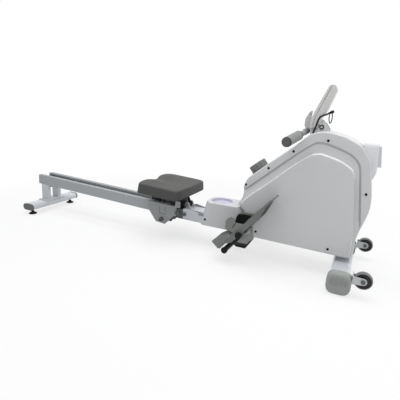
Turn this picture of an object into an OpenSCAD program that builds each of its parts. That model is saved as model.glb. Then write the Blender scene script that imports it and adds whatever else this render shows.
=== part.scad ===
// Folding home rower: twin C-section rails, sliding saddle seat, flywheel housing with a strap
// handle, tension knob, foot plates and a bare console arm. Millimetres, Z up, floor at Z = 0.
// Inside the modules X = 0 is the middle of the front stabiliser and +X points to the front.
// The drawn part is shifted along X so that its origin is the middle of the overall length.

/* [Front stabiliser] */
// Length over both rubber boots, across the machine
front_length = 516; // [460:2:600]
// Tube width along the machine
stab_w = 80; // [60:1:90]
// Tube height
stab_h = 56; // [40:1:70]
// Height of the tube's middle above the floor
stab_z = 57; // [50:1:64]
// How far the tube's middle lies behind the beam's reference point
stab_back = 6; // [0:1:10]
// Rubber boot length along the tube
boot_length = 44; // [30:1:60]
// How far a boot stands past the tube on each side along the machine
boot_lap = 9; // [5:1:14]
// Height of a boot
boot_h = 97; // [90:1:110]

/* [Main beam] */
// Beam width across the machine
beam_w = 80; // [60:1:100]
// Beam height
beam_h = 50; // [40:1:60]
// Height of the beam's underside over the front stabiliser
beam_z = 109; // [100:1:120]
// How much the beam rises towards the rear, in degrees
beam_slope = 1.3; // [0:0.1:3]
// Front end of the beam, from the stabiliser's middle
beam_front = 20; // [0:1:24]
// Wall thickness of the steel tubes
tube_wall = 3; // [2:0.5:4]

/* [Fold hinge] */
// Distance of the fold pivot behind the front stabiliser
hinge_back = 820; // [780:1:860]
// Height of the fold pivot
hinge_z = 198; // [190:1:210]
// Diameter of the fold bolt
hinge_bolt_d = 12; // [8:1:14]
// Steel plate thickness of the fork cheeks, lock plates and ears
plate_t = 3; // [2:0.5:5]

/* [Rails] */
// Length of each rail
rail_length = 1010; // [800:10:1100]
// Distance over both rails' outer faces
rail_span = 112; // [106:1:120]
// Height of the C section
rail_h = 57; // [52:1:64]
// Width of the C section's flanges
rail_flange = 27; // [24:1:32]
// Wall of the C section
rail_wall = 3; // [2:0.5:4]
// How much the rails rise towards the rear, in degrees
rail_slope = 2.4; // [0:0.1:4]
// Rail top below the fold pivot
rail_drop = 13; // [8:1:18]

/* [Rear foot] */
// Length of the rear stabiliser over its caps
rear_length = 384; // [320:2:460]
// Width of the flat oval tube
rear_w = 80; // [60:1:90]
// Height of the flat oval tube
rear_h = 38; // [30:1:44]
// Height of the tube's middle above the floor
rear_z = 50; // [44:1:60]
// Distance between the two levelling feet
level_span = 318; // [240:2:360]
// Diameter of a levelling foot
level_d = 48; // [36:1:56]

/* [Seat] */
// Seat length along the rails
seat_length = 256; // [220:2:280]
// Seat width
seat_width = 352; // [300:2:380]
// Height of the seat's side
seat_side = 52; // [44:1:56]
// Seat underside above the rail tops
seat_rise = 64; // [60:1:72]
// Seat middle behind the fold pivot
seat_back = 112; // [108:1:140]
// Diameter of a seat roller
roller_d = 44; // [38:1:46]
// Distance between the front and rear rollers
wheelbase = 130; // [110:2:140]

/* [Housing] */
// Width over the flat rims of both shells
rim_width = 160; // [150:2:170]
// Width over the raised side panels
panel_width = 190; // [184:2:200]
// Wall of the plastic shells
shell_wall = 3; // [2:0.5:4]
// Width of the beam cover
cover_width = 144; // [130:2:150]
// Top of the beam cover above the floor
cover_top = 246; // [236:1:250]
// Diameter of the cup recess in the beam cover
cup_d = 100; // [80:2:110]
// Depth of the cup recess
cup_depth = 14; // [8:1:20]

/* [Drive] */
// Flywheel diameter
flywheel_d = 280; // [240:2:290]
// Flywheel thickness
flywheel_t = 20; // [14:1:24]
// Drive pulley diameter
pulley_d = 156; // [120:2:160]
// Small pulley diameter on the flywheel's shaft
pinion_d = 36; // [30:1:44]
// Drum diameter that the strap winds on
drum_d = 60; // [50:1:70]
// Diameter of the shafts
shaft_d = 16; // [12:1:18]
// Width of the pull strap
strap_w = 24; // [18:1:28]
// Running clearance of shafts and pins on the radius
run_gap = 0.05; // [0.02:0.01:0.09]

/* [Handle] */
// Length of the pull handle over its end caps
handle_length = 500; // [420:5:540]
// Diameter of the handle's tube
handle_d = 25; // [22:1:28]
// Diameter of the foam grips
grip_d = 42; // [32:1:44]
// Length of a foam grip
grip_length = 140; // [110:5:160]
// Turn of the resting handle seen from above, in degrees
handle_yaw = 8; // [0:1:10]
// Drop of the resting handle's near end, in degrees
handle_tilt = 8; // [0:1:9]

/* [Foot plates] */
// Length of a foot plate
foot_length = 383; // [320:5:400]
// Width of a foot plate
foot_width = 104; // [90:2:110]
// Slope of the foot plates, in degrees
foot_angle = 49; // [42:1:52]
// Distance between the two foot plates' inner edges
foot_gap = 206; // [204:2:230]
// Diameter of the two cross tubes
cross_d = 25; // [20:1:26]

/* [Casters and knob] */
// Diameter of a transport wheel
caster_d = 72; // [60:1:76]
// Width of a transport wheel
caster_w = 24; // [18:1:26]
// Distance between the two transport wheels' middles
caster_span = 450; // [430:2:460]
// Height of the wheel axles
caster_z = 78; // [72:1:84]
// Diameter of the tension knob
knob_d = 86; // [70:1:90]
// Height of the tension knob
knob_h = 34; // [24:1:38]

/* [Console arm] */
// Width of the console arm
arm_w = 60; // [54:1:66]
// Top of the console arm above the floor
arm_top = 841; // [800:1:860]
// Diameter of the console cable
cable_d = 6; // [4:0.5:7]

/* [Hidden] */
$fn = 48;
soft_fn = 32;
touch_gap = 0.3;
slack = 0.5;
over = 1;

hinge_x = -hinge_back;
rail_top = -rail_drop;
rail_bottom = rail_top - rail_h;
rail_front = -46;
rail_rear = rail_front - rail_length;
rail_y = rail_span / 2;
end_cap_t = 4;
rear_x = hinge_x + rail_rear + 40;

rim_y = rim_width / 2;
panel_y = panel_width / 2;
caster_x = 84;
stab_x = -stab_back;
boot_front = stab_x + stab_w / 2 + boot_lap;
boot_y = front_length / 2;
front_end = caster_x + caster_d / 2;
rear_end = hinge_x + (rail_rear - end_cap_t) * cos(rail_slope) + rail_bottom * sin(rail_slope);
length_middle = (front_end + rear_end) / 2;

fork_y = rail_y + slack;
lock_y = rail_y;
tongue_y = 24;
ear_y = 28;
lock_u = -133;
lock_w = -105;
lock_pin_d = 12;
cheek_r = 22;
cheek_bolt_rear = [-850, 152];
cheek_bolt_front = [-816, 153];
fork_bolt_d = 10;
bolt_head_d = 20;
bolt_head_t = 6;

roller_w = 13;
bumper = 10;
roller_z = rail_bottom + rail_wall + roller_d / 2 + touch_gap;
roller_axle_d = 12;
front_roller_u = rail_front - bumper - touch_gap - roller_d / 2;
rear_roller_u = front_roller_u - wheelbase;
roller_y = rail_y - rail_wall - 3 - roller_w / 2;
carriage_y = 21;
seat_u = -seat_back;
seat_w = rail_top + seat_rise;
pan_t = 4;

mast_y = 26;
mast_t = 4;
drum_at = [-330, 300];
wheel_at = [-95, 350];
roller_at = [-180, 660];
brake_at = [-222, 470];
guide_d = 24;
pin_d = 10;
bearing_d = 28;
bearing_w = 8;
belt_y = -39;
belt_w = 10;
belt_t = 3;
flywheel_y = 41;
brake_swing = 5;
brake_gap = 5;

handle_at = [-250, 634];
grip_start = handle_length / 2 - grip_length - 6;

pedal_at = [-458, 156];
stop_at = [-520, 70];
hub_t = 4;
foot_low = -133;
plate_n = cross_d / 2 + hub_t;
foot_t = 7;
heel_travel = 40;
tube_reach = foot_gap / 2 + foot_width + 8;

knob_at = [-440, 437.5];
knob_tilt = 39.5;
arm_foot_z = 606;

// Side outline of the housing's rim, clockwise from the bottom rear corner
housing_side = [[-430, 116], [-440, 172], [-495, 246], [-519, 264], [-498, 300], [-492, 335],
    [-496, 348], [-489, 382], [-469, 413.6], [-260, 586], [-222, 627], [-175, 644], [-133, 644],
    [-67, 628], [-6, 598], [36, 542], [57, 440], [66, 380], [66, 327], [46, 254], [31, 194],
    [27.7, 124], [27, 106], [9, 106.4], [-408, 115.4]];
// Side outline of the raised panel on each shell
panel_side = [[-420, 127], [-430, 178], [-482, 250], [-503, 268], [-483, 302], [-362, 405],
    [-275, 488], [-197, 546], [-161, 553], [-81, 532], [-30, 505], [-12, 472], [6, 340],
    [20, 190], [17, 134], [16, 118], [0, 118.3], [-402, 126.6]];
// Line that the dark groove in the rim follows
groove_line = [[-476, 353], [-384, 434], [-296, 512], [-198, 592], [-172, 599], [-140, 595],
    [-87, 579], [-35, 558], [-5, 529], [6, 498], [32, 312]];
housing_middle = [-215, 370];
// Places of the shell screws on the rim and on the panel
rim_screws = [[-140, 608], [-279, 548], [-383, 460], [-484, 368], [41, 400]];
panel_screws = [[-410, 148], [-75, 132]];
cover_screw = [-690, 151];

// Corner cutting: each corner becomes two points, a quarter of the way along its sides
function cut_corners(pts) = [for (i = [0 : len(pts) - 1])
    let (a = pts[i], b = pts[(i + 1) % len(pts)])
    each [0.75 * a + 0.25 * b, 0.25 * a + 0.75 * b]];
function smooth(pts, times) = times == 0 ? pts : smooth(cut_corners(pts), times - 1);

// The console cable's route, out of the housing and up along the arm's near face to its plug
cable_y = -(arm_w / 2 + touch_gap + cable_d / 2);
cable_route = [[-215, cable_y, 604], [-214, cable_y, 620], [-212, cable_y, 636],
    [-208, cable_y, 650], [-204, cable_y, 664], [-201, cable_y, 678], [-197, cable_y, 692],
    [-191, cable_y, 703], [-181, cable_y, 708.6], [-170.5, -31.6, 713.6], [-160, -28, 719]];
// Thin test lead that hangs in a loop under the plug
loop_route = [[-155, -26, 715.8], [-155.5, -26, 706], [-155, -26, 697], [-153, -26, 687],
    [-150, -26, 680], [-146, -25, 681], [-144, -24, 689], [-143, -24, 698], [-143, -24, 707],
    [-145, -24, 721.1]];
loop_d = 2.5;
plug_size = [24, 10, 9];
plug_lean = 28;

// Where a point of the rails' frame lies in the XZ plane at rest
function rail_point(p) = [hinge_x + p[0] * cos(rail_slope) + p[1] * sin(rail_slope),
    hinge_z - p[0] * sin(rail_slope) + p[1] * cos(rail_slope)];

// Shifts the drawn part so that its origin is the middle of its length
module centred() {
    translate([-length_middle, 0, 0]) children();
}

// Frame along the beam's underside, X = 0 over the front stabiliser
module along_beam() {
    translate([0, 0, beam_z]) rotate([0, beam_slope, 0]) children();
}

// Frame of the rails: origin on the fold pivot, X along the rails to the front
module along_rails() {
    translate([hinge_x, 0, hinge_z]) rotate([0, rail_slope, 0]) children();
}

// Frame of a foot plate: origin on the cross tube, X up along the plate, Z off its face
module along_foot() {
    translate([pedal_at[0], 0, pedal_at[1]]) rotate([0, -foot_angle, 0]) children();
}

// Extrudes an XZ outline across the machine from y = from to y = to
module across(from, to) {
    translate([0, to, 0]) rotate([90, 0, 0]) linear_extrude(to - from) children();
}

// A bar along Y at an XZ place
module y_bar(at, d, from, to) {
    translate([at[0], to, at[1]]) rotate([90, 0, 0]) cylinder(d = d, h = to - from);
}

// Both sides of the machine
module both_sides() {
    children();
    mirror([0, 1, 0]) children();
}

// Flat outline of a rounded box, x by y, true arcs at the corners
module rounded(x, y, r) {
    square([x - 2 * r, y], center = true);
    square([x, y - 2 * r], center = true);
    for (sx = [-1, 1], sy = [-1, 1])
        translate([sx * (x / 2 - r), sy * (y / 2 - r)]) circle(r = r);
}

// Front stabiliser tube
module front_stabilizer() {
    color("gainsboro") translate([stab_x, 0, stab_z])
    across(-boot_y + boot_length / 2, boot_y - boot_length / 2) difference() {
        rounded(stab_w, stab_h, 14);
        rounded(stab_w - 2 * tube_wall, stab_h - 2 * tube_wall, 11);
    }
}

// Ribbed rubber boot over each end of the front stabiliser
module front_boots() {
    rib_count = 8;
    rib_pitch = 9;
    color("dimgray") translate([stab_x, 0, 0]) both_sides() difference() {
        union() {
            translate([0, 0, boot_h / 2]) across(boot_y - boot_length, boot_y - 2)
                rounded(stab_w + 2 * boot_lap, boot_h, 20);
            for (i = [0 : rib_count - 1])
                translate([(i - (rib_count - 1) / 2) * rib_pitch - 2.5, boot_y - 4, 18])
                    cube([5, 4, boot_h - 36]);
            translate([-stab_w / 2, boot_y - boot_length, 0]) cube([stab_w, boot_length - 2, 12]);
        }
        translate([0, 0, stab_z]) across(boot_y - boot_length - over, boot_y - boot_length / 2)
            rounded(stab_w, stab_h, 14);
    }
}

// Saddle bracket between the front stabiliser and the beam
module stabilizer_bracket() {
    bracket_w = 100;
    bracket_l = 44;
    seat_z = stab_z + stab_h / 2;
    color("silver") difference() {
        translate([stab_x - bracket_l / 2, -bracket_w / 2, seat_z])
            cube([bracket_l, bracket_w, beam_z - seat_z + 5]);
        along_beam() translate([-bracket_l, -bracket_w, 0])
            cube([2 * bracket_l, 2 * bracket_w, beam_h]);
        translate([-bracket_l, -bracket_w / 2 + 6, seat_z + 4])
            cube([2 * bracket_l, 14, beam_z - seat_z - 8]);
        translate([-bracket_l, bracket_w / 2 - 20, seat_z + 4])
            cube([2 * bracket_l, 14, beam_z - seat_z - 8]);
    }
}

// Main beam, a box tube with holes for the pedal tube
beam_rear = -(hinge_back + 15);
module main_beam() {
    color("gainsboro") difference() {
        along_beam() translate([beam_rear, -beam_w / 2, 0])
            cube([beam_front - beam_rear, beam_w, beam_h]);
        along_beam() translate([beam_rear - over, -beam_w / 2 + tube_wall, tube_wall])
            cube([beam_front - beam_rear + 2 * over, beam_w - 2 * tube_wall, beam_h - 2 * tube_wall]);
        y_bar(pedal_at, cross_d, -beam_w, beam_w);
    }
}

// Fork at the beam's rear end: two cheeks, a floor, the pivot ears and the lock tongue
module hinge_fork() {
    beam_end_z = beam_z - beam_rear * tan(beam_slope);
    color("lavender") difference() {
        union() {
            both_sides() across(fork_y, fork_y + plate_t) {
                translate(cheek_bolt_rear) circle(r = cheek_r);
                translate([-750, 158]) circle(r = cheek_r - 3.5);
                polygon([[-850, 130], [-704, 125], [-704, 160], [-731, 160], [-750, 177],
                    [-800, 187], [-852, 174]]);
            }
            along_beam() translate([-866, -fork_y - plate_t, -plate_t])
                cube([160, 2 * (fork_y + plate_t), plate_t]);
            both_sides() across(ear_y - plate_t - 2, ear_y) {
                translate([hinge_x, hinge_z]) circle(d = hinge_bolt_d + 16);
                polygon([[hinge_x - 14, hinge_z], [hinge_x + 14, hinge_z], [hinge_x + 30, 175],
                    [hinge_x + 30, beam_end_z + 6], [hinge_x - 14, beam_end_z + 6]]);
            }
            both_sides() across(tongue_y - plate_t - 2, tongue_y) difference() {
                polygon([[-826, beam_end_z], [-826, 139], [-1000, 139], [-1000, 100], [-985, 84],
                    [-915, 84], [-884, beam_end_z]]);
                pin_notch();
            }
        }
        y_bar([hinge_x, hinge_z], hinge_bolt_d, -ear_y - over, ear_y + over);
        for (at = [cheek_bolt_rear, cheek_bolt_front])
            y_bar(at, fork_bolt_d, -2 * fork_y, 2 * fork_y);
        along_beam() translate([beam_rear, -beam_w / 2, 0])
            cube([beam_front - beam_rear, beam_w, beam_h]);
    }
}

// Notch for the lock pin, open along the arc on which the pin swings as the rails fold
module pin_notch() {
    pin = rail_point([lock_u, lock_w]);
    swing = norm([lock_u, lock_w]);
    half = lock_pin_d / 2 + run_gap;
    away = atan2(hinge_x - pin[0], pin[1] - hinge_z);
    translate(pin) circle(r = half);
    intersection() {
        translate([hinge_x, hinge_z]) difference() {
            circle(r = swing + half);
            circle(r = swing - half);
        }
        translate(pin) rotate(away) translate([0, -3 * half]) square([90, 6 * half]);
    }
}

// Fold bolt through the fork's ears and the hinge bracket, with its head and nut
module hinge_bolt() {
    color("gray") {
        y_bar([hinge_x, hinge_z], hinge_bolt_d, -ear_y - over, ear_y + over);
        y_bar([hinge_x, hinge_z], hinge_bolt_d + 8, -ear_y - bolt_head_t, -ear_y);
        y_bar([hinge_x, hinge_z], hinge_bolt_d + 8, ear_y, ear_y + bolt_head_t);
    }
}

// Bolts of the frame: fork cheeks, floor bolt, caster axles, strap roller and brake pins
module frame_bolts() {
    cheek_out = fork_y + plate_t;
    color("dimgray") {
        both_sides() for (at = [cheek_bolt_rear, cheek_bolt_front]) difference() {
            union() {
                y_bar(at, fork_bolt_d, fork_y - 4, cheek_out);
                y_bar(at, bolt_head_d, cheek_out, cheek_out + bolt_head_t);
            }
            y_bar(at, fork_bolt_d - 2, cheek_out + 2, cheek_out + bolt_head_t + over);
        }
        along_beam() translate([-825, 0, -plate_t - 9]) cylinder(d = 16, h = 9, $fn = 6);
        both_sides() {
            y_bar([caster_x, caster_z], pin_d, caster_span / 2 - caster_w / 2 - 8,
                caster_span / 2 + caster_w / 2 + 8);
            y_bar([caster_x, caster_z], 18, caster_span / 2 + caster_w / 2 + 5,
                caster_span / 2 + caster_w / 2 + 10);
            y_bar([caster_x, caster_z], 18, caster_span / 2 - caster_w / 2 - 10,
                caster_span / 2 - caster_w / 2 - 5);
        }
        mast_out = mast_y + mast_t / 2;
        y_bar(roller_at, pin_d, -mast_out - over, mast_out + over);
        both_sides() difference() {
            y_bar(roller_at, bolt_head_d, mast_out, mast_out + bolt_head_t);
            y_bar(roller_at, 9, mast_out + 2, mast_out + bolt_head_t + over);
        }
        y_bar(brake_at, pin_d, mast_y, flywheel_y + flywheel_t + brake_gap + 8);
    }
}

// Cover over the beam behind the housing, with the cup recess in its top
cup_at = [-628, 0];
cup_ring = 16;
module beam_cover() {
    rear_foot = -728;
    side = [[rear_foot, 119], [-699, cover_top], [-494, cover_top], [-441, 171],
        [-431, 117]];
    inner = [[rear_foot + shell_wall, 100], [-699 + shell_wall + 4, cover_top - cup_depth - shell_wall],
        [-498 - shell_wall, cover_top - cup_depth - shell_wall], [-446, 172], [-436, 100]];
    plan_l = 340;
    color("whitesmoke") difference() {
        intersection() {
            across(-cover_width / 2, cover_width / 2) polygon(side);
            translate([rear_foot + plan_l / 2, 0, 0]) linear_extrude(cover_top + 10)
                rounded(plan_l, cover_width, 40);
        }
        intersection() {
            across(-cover_width / 2 + shell_wall, cover_width / 2 - shell_wall) polygon(inner);
            translate([rear_foot + plan_l / 2, 0, 0]) linear_extrude(cover_top + 10)
                rounded(plan_l - 2 * shell_wall, cover_width - 2 * shell_wall, 37);
        }
        translate([cup_at[0], cup_at[1], cover_top - cup_depth]) cylinder(d = cup_d, h = 2 * cup_depth);
        translate([cup_at[0], cup_at[1], cover_top - 2]) difference() {
            cylinder(d = cup_d + 2 * cup_ring, h = 10);
            translate([0, 0, -over]) cylinder(d = cup_d + 2 * cup_ring - 10, h = 12);
        }
        along_beam() translate([-900, -beam_w / 2 - slack, -slack])
            cube([900, beam_w + 2 * slack, beam_h + 2 * slack]);
        for (at = [pedal_at, stop_at])
            y_bar(at, cross_d + 2 * slack, -cover_width, cover_width);
        across(-fork_y - plate_t - slack, fork_y + plate_t + slack)
            polygon([[-760, 100], [-703, 100], [-703, 196], [-760, 196]]);
        across(-cover_width, cover_width) offset(delta = touch_gap) polygon(smooth(housing_side, 2));
    }
}

// One moulded half of the flywheel housing, on the -Y side
groove_w = 2.5;
module housing_half() {
    outline = smooth(housing_side, 2);
    panel = smooth(panel_side, 2);
    edge_round = 8;
    panel_lift = panel_y - rim_y;
    difference() {
        union() {
            across(-rim_y + edge_round, 0) polygon(outline);
            translate([housing_middle[0], -rim_y + edge_round, housing_middle[1]])
                rotate([90, 0, 0]) linear_extrude(edge_round, scale = 0.975, slices = 1)
                    translate(-housing_middle) polygon(outline);
            translate([housing_middle[0], -rim_y + over, housing_middle[1]])
                rotate([90, 0, 0]) linear_extrude(panel_lift + over, scale = [0.97, 0.965],
                    slices = 1)
                    translate(-housing_middle) polygon(panel);
        }
        across(-rim_y + edge_round, over) offset(delta = -shell_wall) polygon(outline);
        across(-rim_y + shell_wall, over) offset(delta = -shell_wall - 10) polygon(outline);
        across(-panel_y + shell_wall, over) offset(delta = -16) polygon(panel);
        housing_cuts();
        across(-rim_y - over, -rim_y + 1.5) groove_band();
    }
}

// Thin band along the groove line
module groove_band() {
    last = len(groove_line) - 1;
    side = [for (i = [0 : last]) let (run = groove_line[min(i + 1, last)] - groove_line[max(i - 1, 0)])
        [-run[1], run[0]] / norm(run) * groove_w / 2];
    polygon(concat([for (i = [0 : last]) groove_line[i] + side[i]],
        [for (i = [last : -1 : 0]) groove_line[i] - side[i]]));
}

// What passes out of the housing: beam, pedal tube, mast ears, arm foot, strap and knob shaft
module housing_cuts() {
    along_beam() translate([-900, -beam_w / 2 - slack, -20])
        cube([900 + beam_front + 3, beam_w + 2 * slack, 20 + beam_h + slack]);
    translate([stab_x - 24, -52, 90]) cube([48, 104, 40]);
    y_bar(pedal_at, cross_d + 2 * slack, -2 * panel_y, 2 * panel_y);
    translate([-240, -arm_w / 2 - slack, 560]) cube([104, arm_w + 2 * slack, 120]);
    knob_place() translate([0, 0, -30]) cylinder(d = 12 + 2 * touch_gap, h = 60);
    translate([-213, cable_y, 590]) cylinder(d = cable_d + 3, h = 60);
}

module right_housing() {
    color("whitesmoke") housing_half();
}

module left_housing() {
    color("whitesmoke") mirror([0, 1, 0]) housing_half();
}

// Rounded nose on the housing's front, between the shells' front edges
nose_w = 120;
nose_round = 28;
nose_side = [[-4, 607], [20, 612], [50, 611], [58, 604], [59, 580], [66, 515], [65, 486],
    [54, 458], [44, 446], [34, 446], [8, 540]];
module nose_cover() {
    color("white") difference() {
        intersection() {
            across(-nose_w / 2, nose_w / 2) polygon(smooth(nose_side, 2));
            translate([-20, 0, 410]) rotate([90, 0, 90]) linear_extrude(120) rounded(nose_w, 400, nose_round);
        }
        across(-nose_w, nose_w) offset(delta = touch_gap) polygon(smooth(housing_side, 2));
    }
}

// Rubber pads: on the nose, for standing the machine up, and under the centre foot
module rubber_pads() {
    color("dimgray") {
        difference() {
            across(-30, 30) polygon([[50, 598], [70, 598], [81, 512], [56, 512]]);
            across(-40, 40) polygon(smooth(nose_side, 2));
        }
        foot_pad();
    }
}

module foot_pad() {
    across(-30, 30) polygon([[-536, 34], [-536, 30], [-524, 22], [-474, 22], [-449, 62], [-449, 66],
        [-454, 66], [-478, 28], [-522, 28]]);
}

// Bracket under the beam that carries the stop tube and ends in a padded foot
module centre_foot() {
    color("gray") difference() {
        across(-26, 26) polygon([[-522, 28], [-478, 28], [-454, 66], [-440, 80], [-440, beam_z + 12],
            [-500, beam_z + 14], [-536, 60], [-536, 34]]);
        along_beam() translate([-900, -beam_w, 0]) cube([900, 2 * beam_w, beam_h]);
        y_bar(stop_at, cross_d, -40, 40);
        across(-22, 22) polygon([[-502, 60], [-470, 46], [-462, 70], [-452, 90], [-452, 100],
            [-490, 104]]);
    }
}

// Inner frame: two steel side plates on the beam, up to the ears of the strap roller
module frame_plates() {
    plate = [[-400, 100], [-388, 290], [-360, 338], [-300, 344], [-262, 470], [-240, 520],
        [-238, 600], [-216, 640], [-195.5, 650], [-188, 676], [-176, 682], [-165, 676], [-148, 654],
        [-146, 636], [-160, 560], [-165, 450], [-90, 392], [-50, 372], [-50, 330], [-80, 300],
        [-120, 100]];
    color("silver") both_sides() difference() {
        union() {
            across(mast_y - mast_t / 2, mast_y + mast_t / 2) polygon(plate);
            for (at = [drum_at, wheel_at])
                y_bar(at, bearing_d + 10, mast_y - mast_t / 2, mast_y - mast_t / 2 + bearing_w);
        }
        along_beam() translate([-900, -beam_w, -20]) cube([920, 2 * beam_w, beam_h + 20]);
        for (at = [drum_at, wheel_at]) y_bar(at, bearing_d, 0, 2 * mast_y);
        y_bar(roller_at, pin_d, 0, 2 * mast_y);
        y_bar(brake_at, pin_d, 0, 2 * mast_y);
    }
}

// Ball bearings of the two shafts
module shaft_bearings() {
    color("silver") both_sides() for (at = [drum_at, wheel_at]) difference() {
        y_bar(at, bearing_d, mast_y - mast_t / 2, mast_y - mast_t / 2 + bearing_w);
        y_bar(at, shaft_d + 2 * run_gap, 0, 2 * mast_y);
    }
}

// Outline of the console arm seen from the side
arm_rear_edge = [[-222, arm_foot_z], [-230, 645], [-233, 680], [-220, 724], [-172, arm_top - 6]];
arm_seam = [[-148, arm_top - 14], [-186, 724], [-206, 680], [-204, arm_foot_z]];
arm_front_edge = [[-139, arm_top - 26], [-169, 725], [-196, 684], [-196, arm_foot_z]];
arm_side = concat(arm_rear_edge, [[-157, arm_top]], arm_front_edge);

// Hollow side profile of the arm, with the strap's slot through its foot
module arm_body() {
    difference() {
        union() {
            intersection() {
                across(-arm_w / 2, arm_w / 2) polygon(arm_side);
                translate([-300, -arm_w / 2, 651]) cube([200, arm_w, 200]);
            }
            across(-mast_y + mast_t / 2, mast_y - mast_t / 2) polygon(arm_side);
        }
        across(-arm_w / 2 + shell_wall, arm_w / 2 - shell_wall) intersection() {
            offset(delta = -shell_wall) polygon(arm_side);
            translate([-300, 684]) square([200, 200]);
        }
        strap_slot();
    }
}

module strap_slot() {
    translate([-280, -strap_w / 2 - 3, 630]) cube([110, strap_w + 6, 50]);
}

module console_arm_rear() {
    color("gainsboro") difference() {
        arm_body();
        across(-arm_w, arm_w) polygon(concat(arm_seam, [[-100, arm_foot_z - over], [-100, arm_top + over],
            [-148, arm_top + over]]));
    }
}

module console_arm_front() {
    seam_gap = [slack, 0];
    color("whitesmoke") intersection() {
        arm_body();
        across(-arm_w, arm_w) polygon(concat([for (p = arm_seam) p + seam_gap],
            [[-100, arm_foot_z], [-100, arm_top + over], [-147, arm_top + over]]));
    }
}

// Block on the arm's rear face that the handle rests under
module handle_hook() {
    color("lavender") difference() {
        across(-22, 22) polygon([[-229, 651.2], [-250, 651.2], [-256, 664], [-255, 690],
            [-240, 722], [-222, 730], [-200, 730], [-200, 651.2]]);
        across(-arm_w, arm_w) polygon(arm_side);
        across(-arm_w, arm_w) polygon([[-226, 700], [-236, 706], [-229, 740], [-210, 740]]);
        strap_slot();
    }
}

// The two cross tubes: the foot plates' axle through the beam, and the stop tube below it
module pedal_tubes() {
    color("silver") for (at = [pedal_at, stop_at]) difference() {
        y_bar(at, cross_d, -tube_reach, tube_reach);
        y_bar(at, cross_d - 2 * tube_wall, -tube_reach - over, tube_reach + over);
    }
}

// Black plugs in the ends of both cross tubes
module pedal_tube_caps() {
    color("black") both_sides() for (at = [pedal_at, stop_at]) {
        y_bar(at, cross_d + 6, tube_reach, tube_reach + 6);
        y_bar(at, cross_d - 2 * tube_wall, tube_reach - 12, tube_reach);
    }
}

// Screws of the housing shells and the beam cover
module housing_screws() {
    head = 11;
    color("black") both_sides() {
        for (at = rim_screws) y_bar(at, head, rim_y, rim_y + 2);
        for (at = panel_screws) y_bar(at, head, panel_y, panel_y + 2);
        y_bar(cover_screw, head, cover_width / 2, cover_width / 2 + 2);
    }
}

// Forks of the transport wheels, bolted to the stabiliser's front face
module caster_brackets() {
    wheel_side = caster_w / 2 + 2;
    mid = caster_span / 2;
    base_x = boot_front + slack;
    flange_y = boot_y - boot_length - 24;
    color("silver") both_sides() difference() {
        union() {
            for (y = [mid - wheel_side - 3, mid + wheel_side]) across(y, y + 3) {
                translate([caster_x, caster_z]) circle(d = 30);
                polygon([[base_x, caster_z - 19], [base_x, caster_z + 17],
                    [caster_x, caster_z + 15], [caster_x, caster_z - 15]]);
            }
            translate([base_x, flange_y, caster_z - 19])
                cube([3, mid + wheel_side + 3 - flange_y, 36]);
            translate([stab_x + stab_w / 2, flange_y, caster_z - 19])
                cube([base_x - stab_x - stab_w / 2, 20, 20]);
        }
        y_bar([caster_x, caster_z], pin_d, 0, caster_span);
    }
}

// Tube swept along points: rings of equal sides, joined, with flat ends
function unit(v) = v / norm(v);
function route_dir(r, i) = unit(r[min(i + 1, len(r) - 1)] - r[max(i - 1, 0)]);
function curve_at(p, t) = let (n = len(p) - 1, i = min(floor(t), n - 1), f = t - i,
    a = p[max(i - 1, 0)], b = p[i], c = p[i + 1], d = p[min(i + 2, n)])
    0.5 * (2 * b + (c - a) * f + (2 * a - 5 * b + 4 * c - d) * f * f
        + (3 * b - a - 3 * c + d) * f * f * f);
module swept_tube(points, d, sides, per_step) {
    steps = (len(points) - 1) * per_step;
    route = [for (k = [0 : steps]) curve_at(points, k / per_step)];
    ring_points = [for (i = [0 : steps]) let (t = route_dir(route, i),
        u = unit(cross(t, [0, 1, 0.2])), v = cross(t, u))
        for (k = [0 : sides - 1]) route[i] + d / 2 * (u * cos(360 * k / sides)
            + v * sin(360 * k / sides))];
    walls = [for (i = [0 : steps - 1], k = [0 : sides - 1]) let (a = i * sides + k,
        b = i * sides + (k + 1) % sides) each [[a, b, b + sides], [a, b + sides, a + sides]]];
    first = [for (k = [sides - 1 : -1 : 0]) k];
    last = [for (k = [0 : sides - 1]) steps * sides + k];
    polyhedron(points = ring_points, faces = concat([first], walls, [last]), convexity = 10);
}

// Console cable with its thin hanging lead
module console_cable() {
    color("black") {
        swept_tube(cable_route, cable_d, 8, 1);
        swept_tube(loop_route, loop_d, 8, 1);
    }
}

// Plug on the console cable's end
module cable_plug() {
    end = cable_route[len(cable_route) - 1];
    color("black") translate(end) rotate([0, -plug_lean, 0])
        translate([2 * touch_gap, -plug_size[1] / 2, -plug_size[2] / 2]) cube(plug_size);
}

// Strap from the drum up to the guide roller and over it, inside the housing
strap_t = 2;
strap_up = -20;
strap_out = 33;
function about(at, r, a) = at + r * [cos(a), sin(a)];
module inner_strap() {
    near = touch_gap;
    turn = [for (a = [strap_up : 8 : 90 + strap_out - 1]) a];
    inner = concat([about(drum_at, drum_d / 2 + near, strap_up)],
        [for (a = turn) about(roller_at, guide_d / 2 + near, a)]);
    outer = concat([about(drum_at, drum_d / 2 + near + strap_t, strap_up)],
        [for (a = turn) about(roller_at, guide_d / 2 + near + strap_t, a)]);
    color("black") across(-strap_w / 2, strap_w / 2)
        polygon(concat(inner, [for (i = [len(outer) - 1 : -1 : 0]) outer[i]]));
}

// Ribbed belt round both pulleys
module drive_belt() {
    color("black") across(belt_y - belt_w / 2, belt_y + belt_w / 2) difference() {
        hull() {
            translate(drum_at) circle(d = pulley_d + 2 * (touch_gap + belt_t));
            translate(wheel_at) circle(d = pinion_d + 2 * (touch_gap + belt_t));
        }
        hull() {
            translate(drum_at) circle(d = pulley_d + 2 * touch_gap);
            translate(wheel_at) circle(d = pinion_d + 2 * touch_gap);
        }
    }
}

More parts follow.
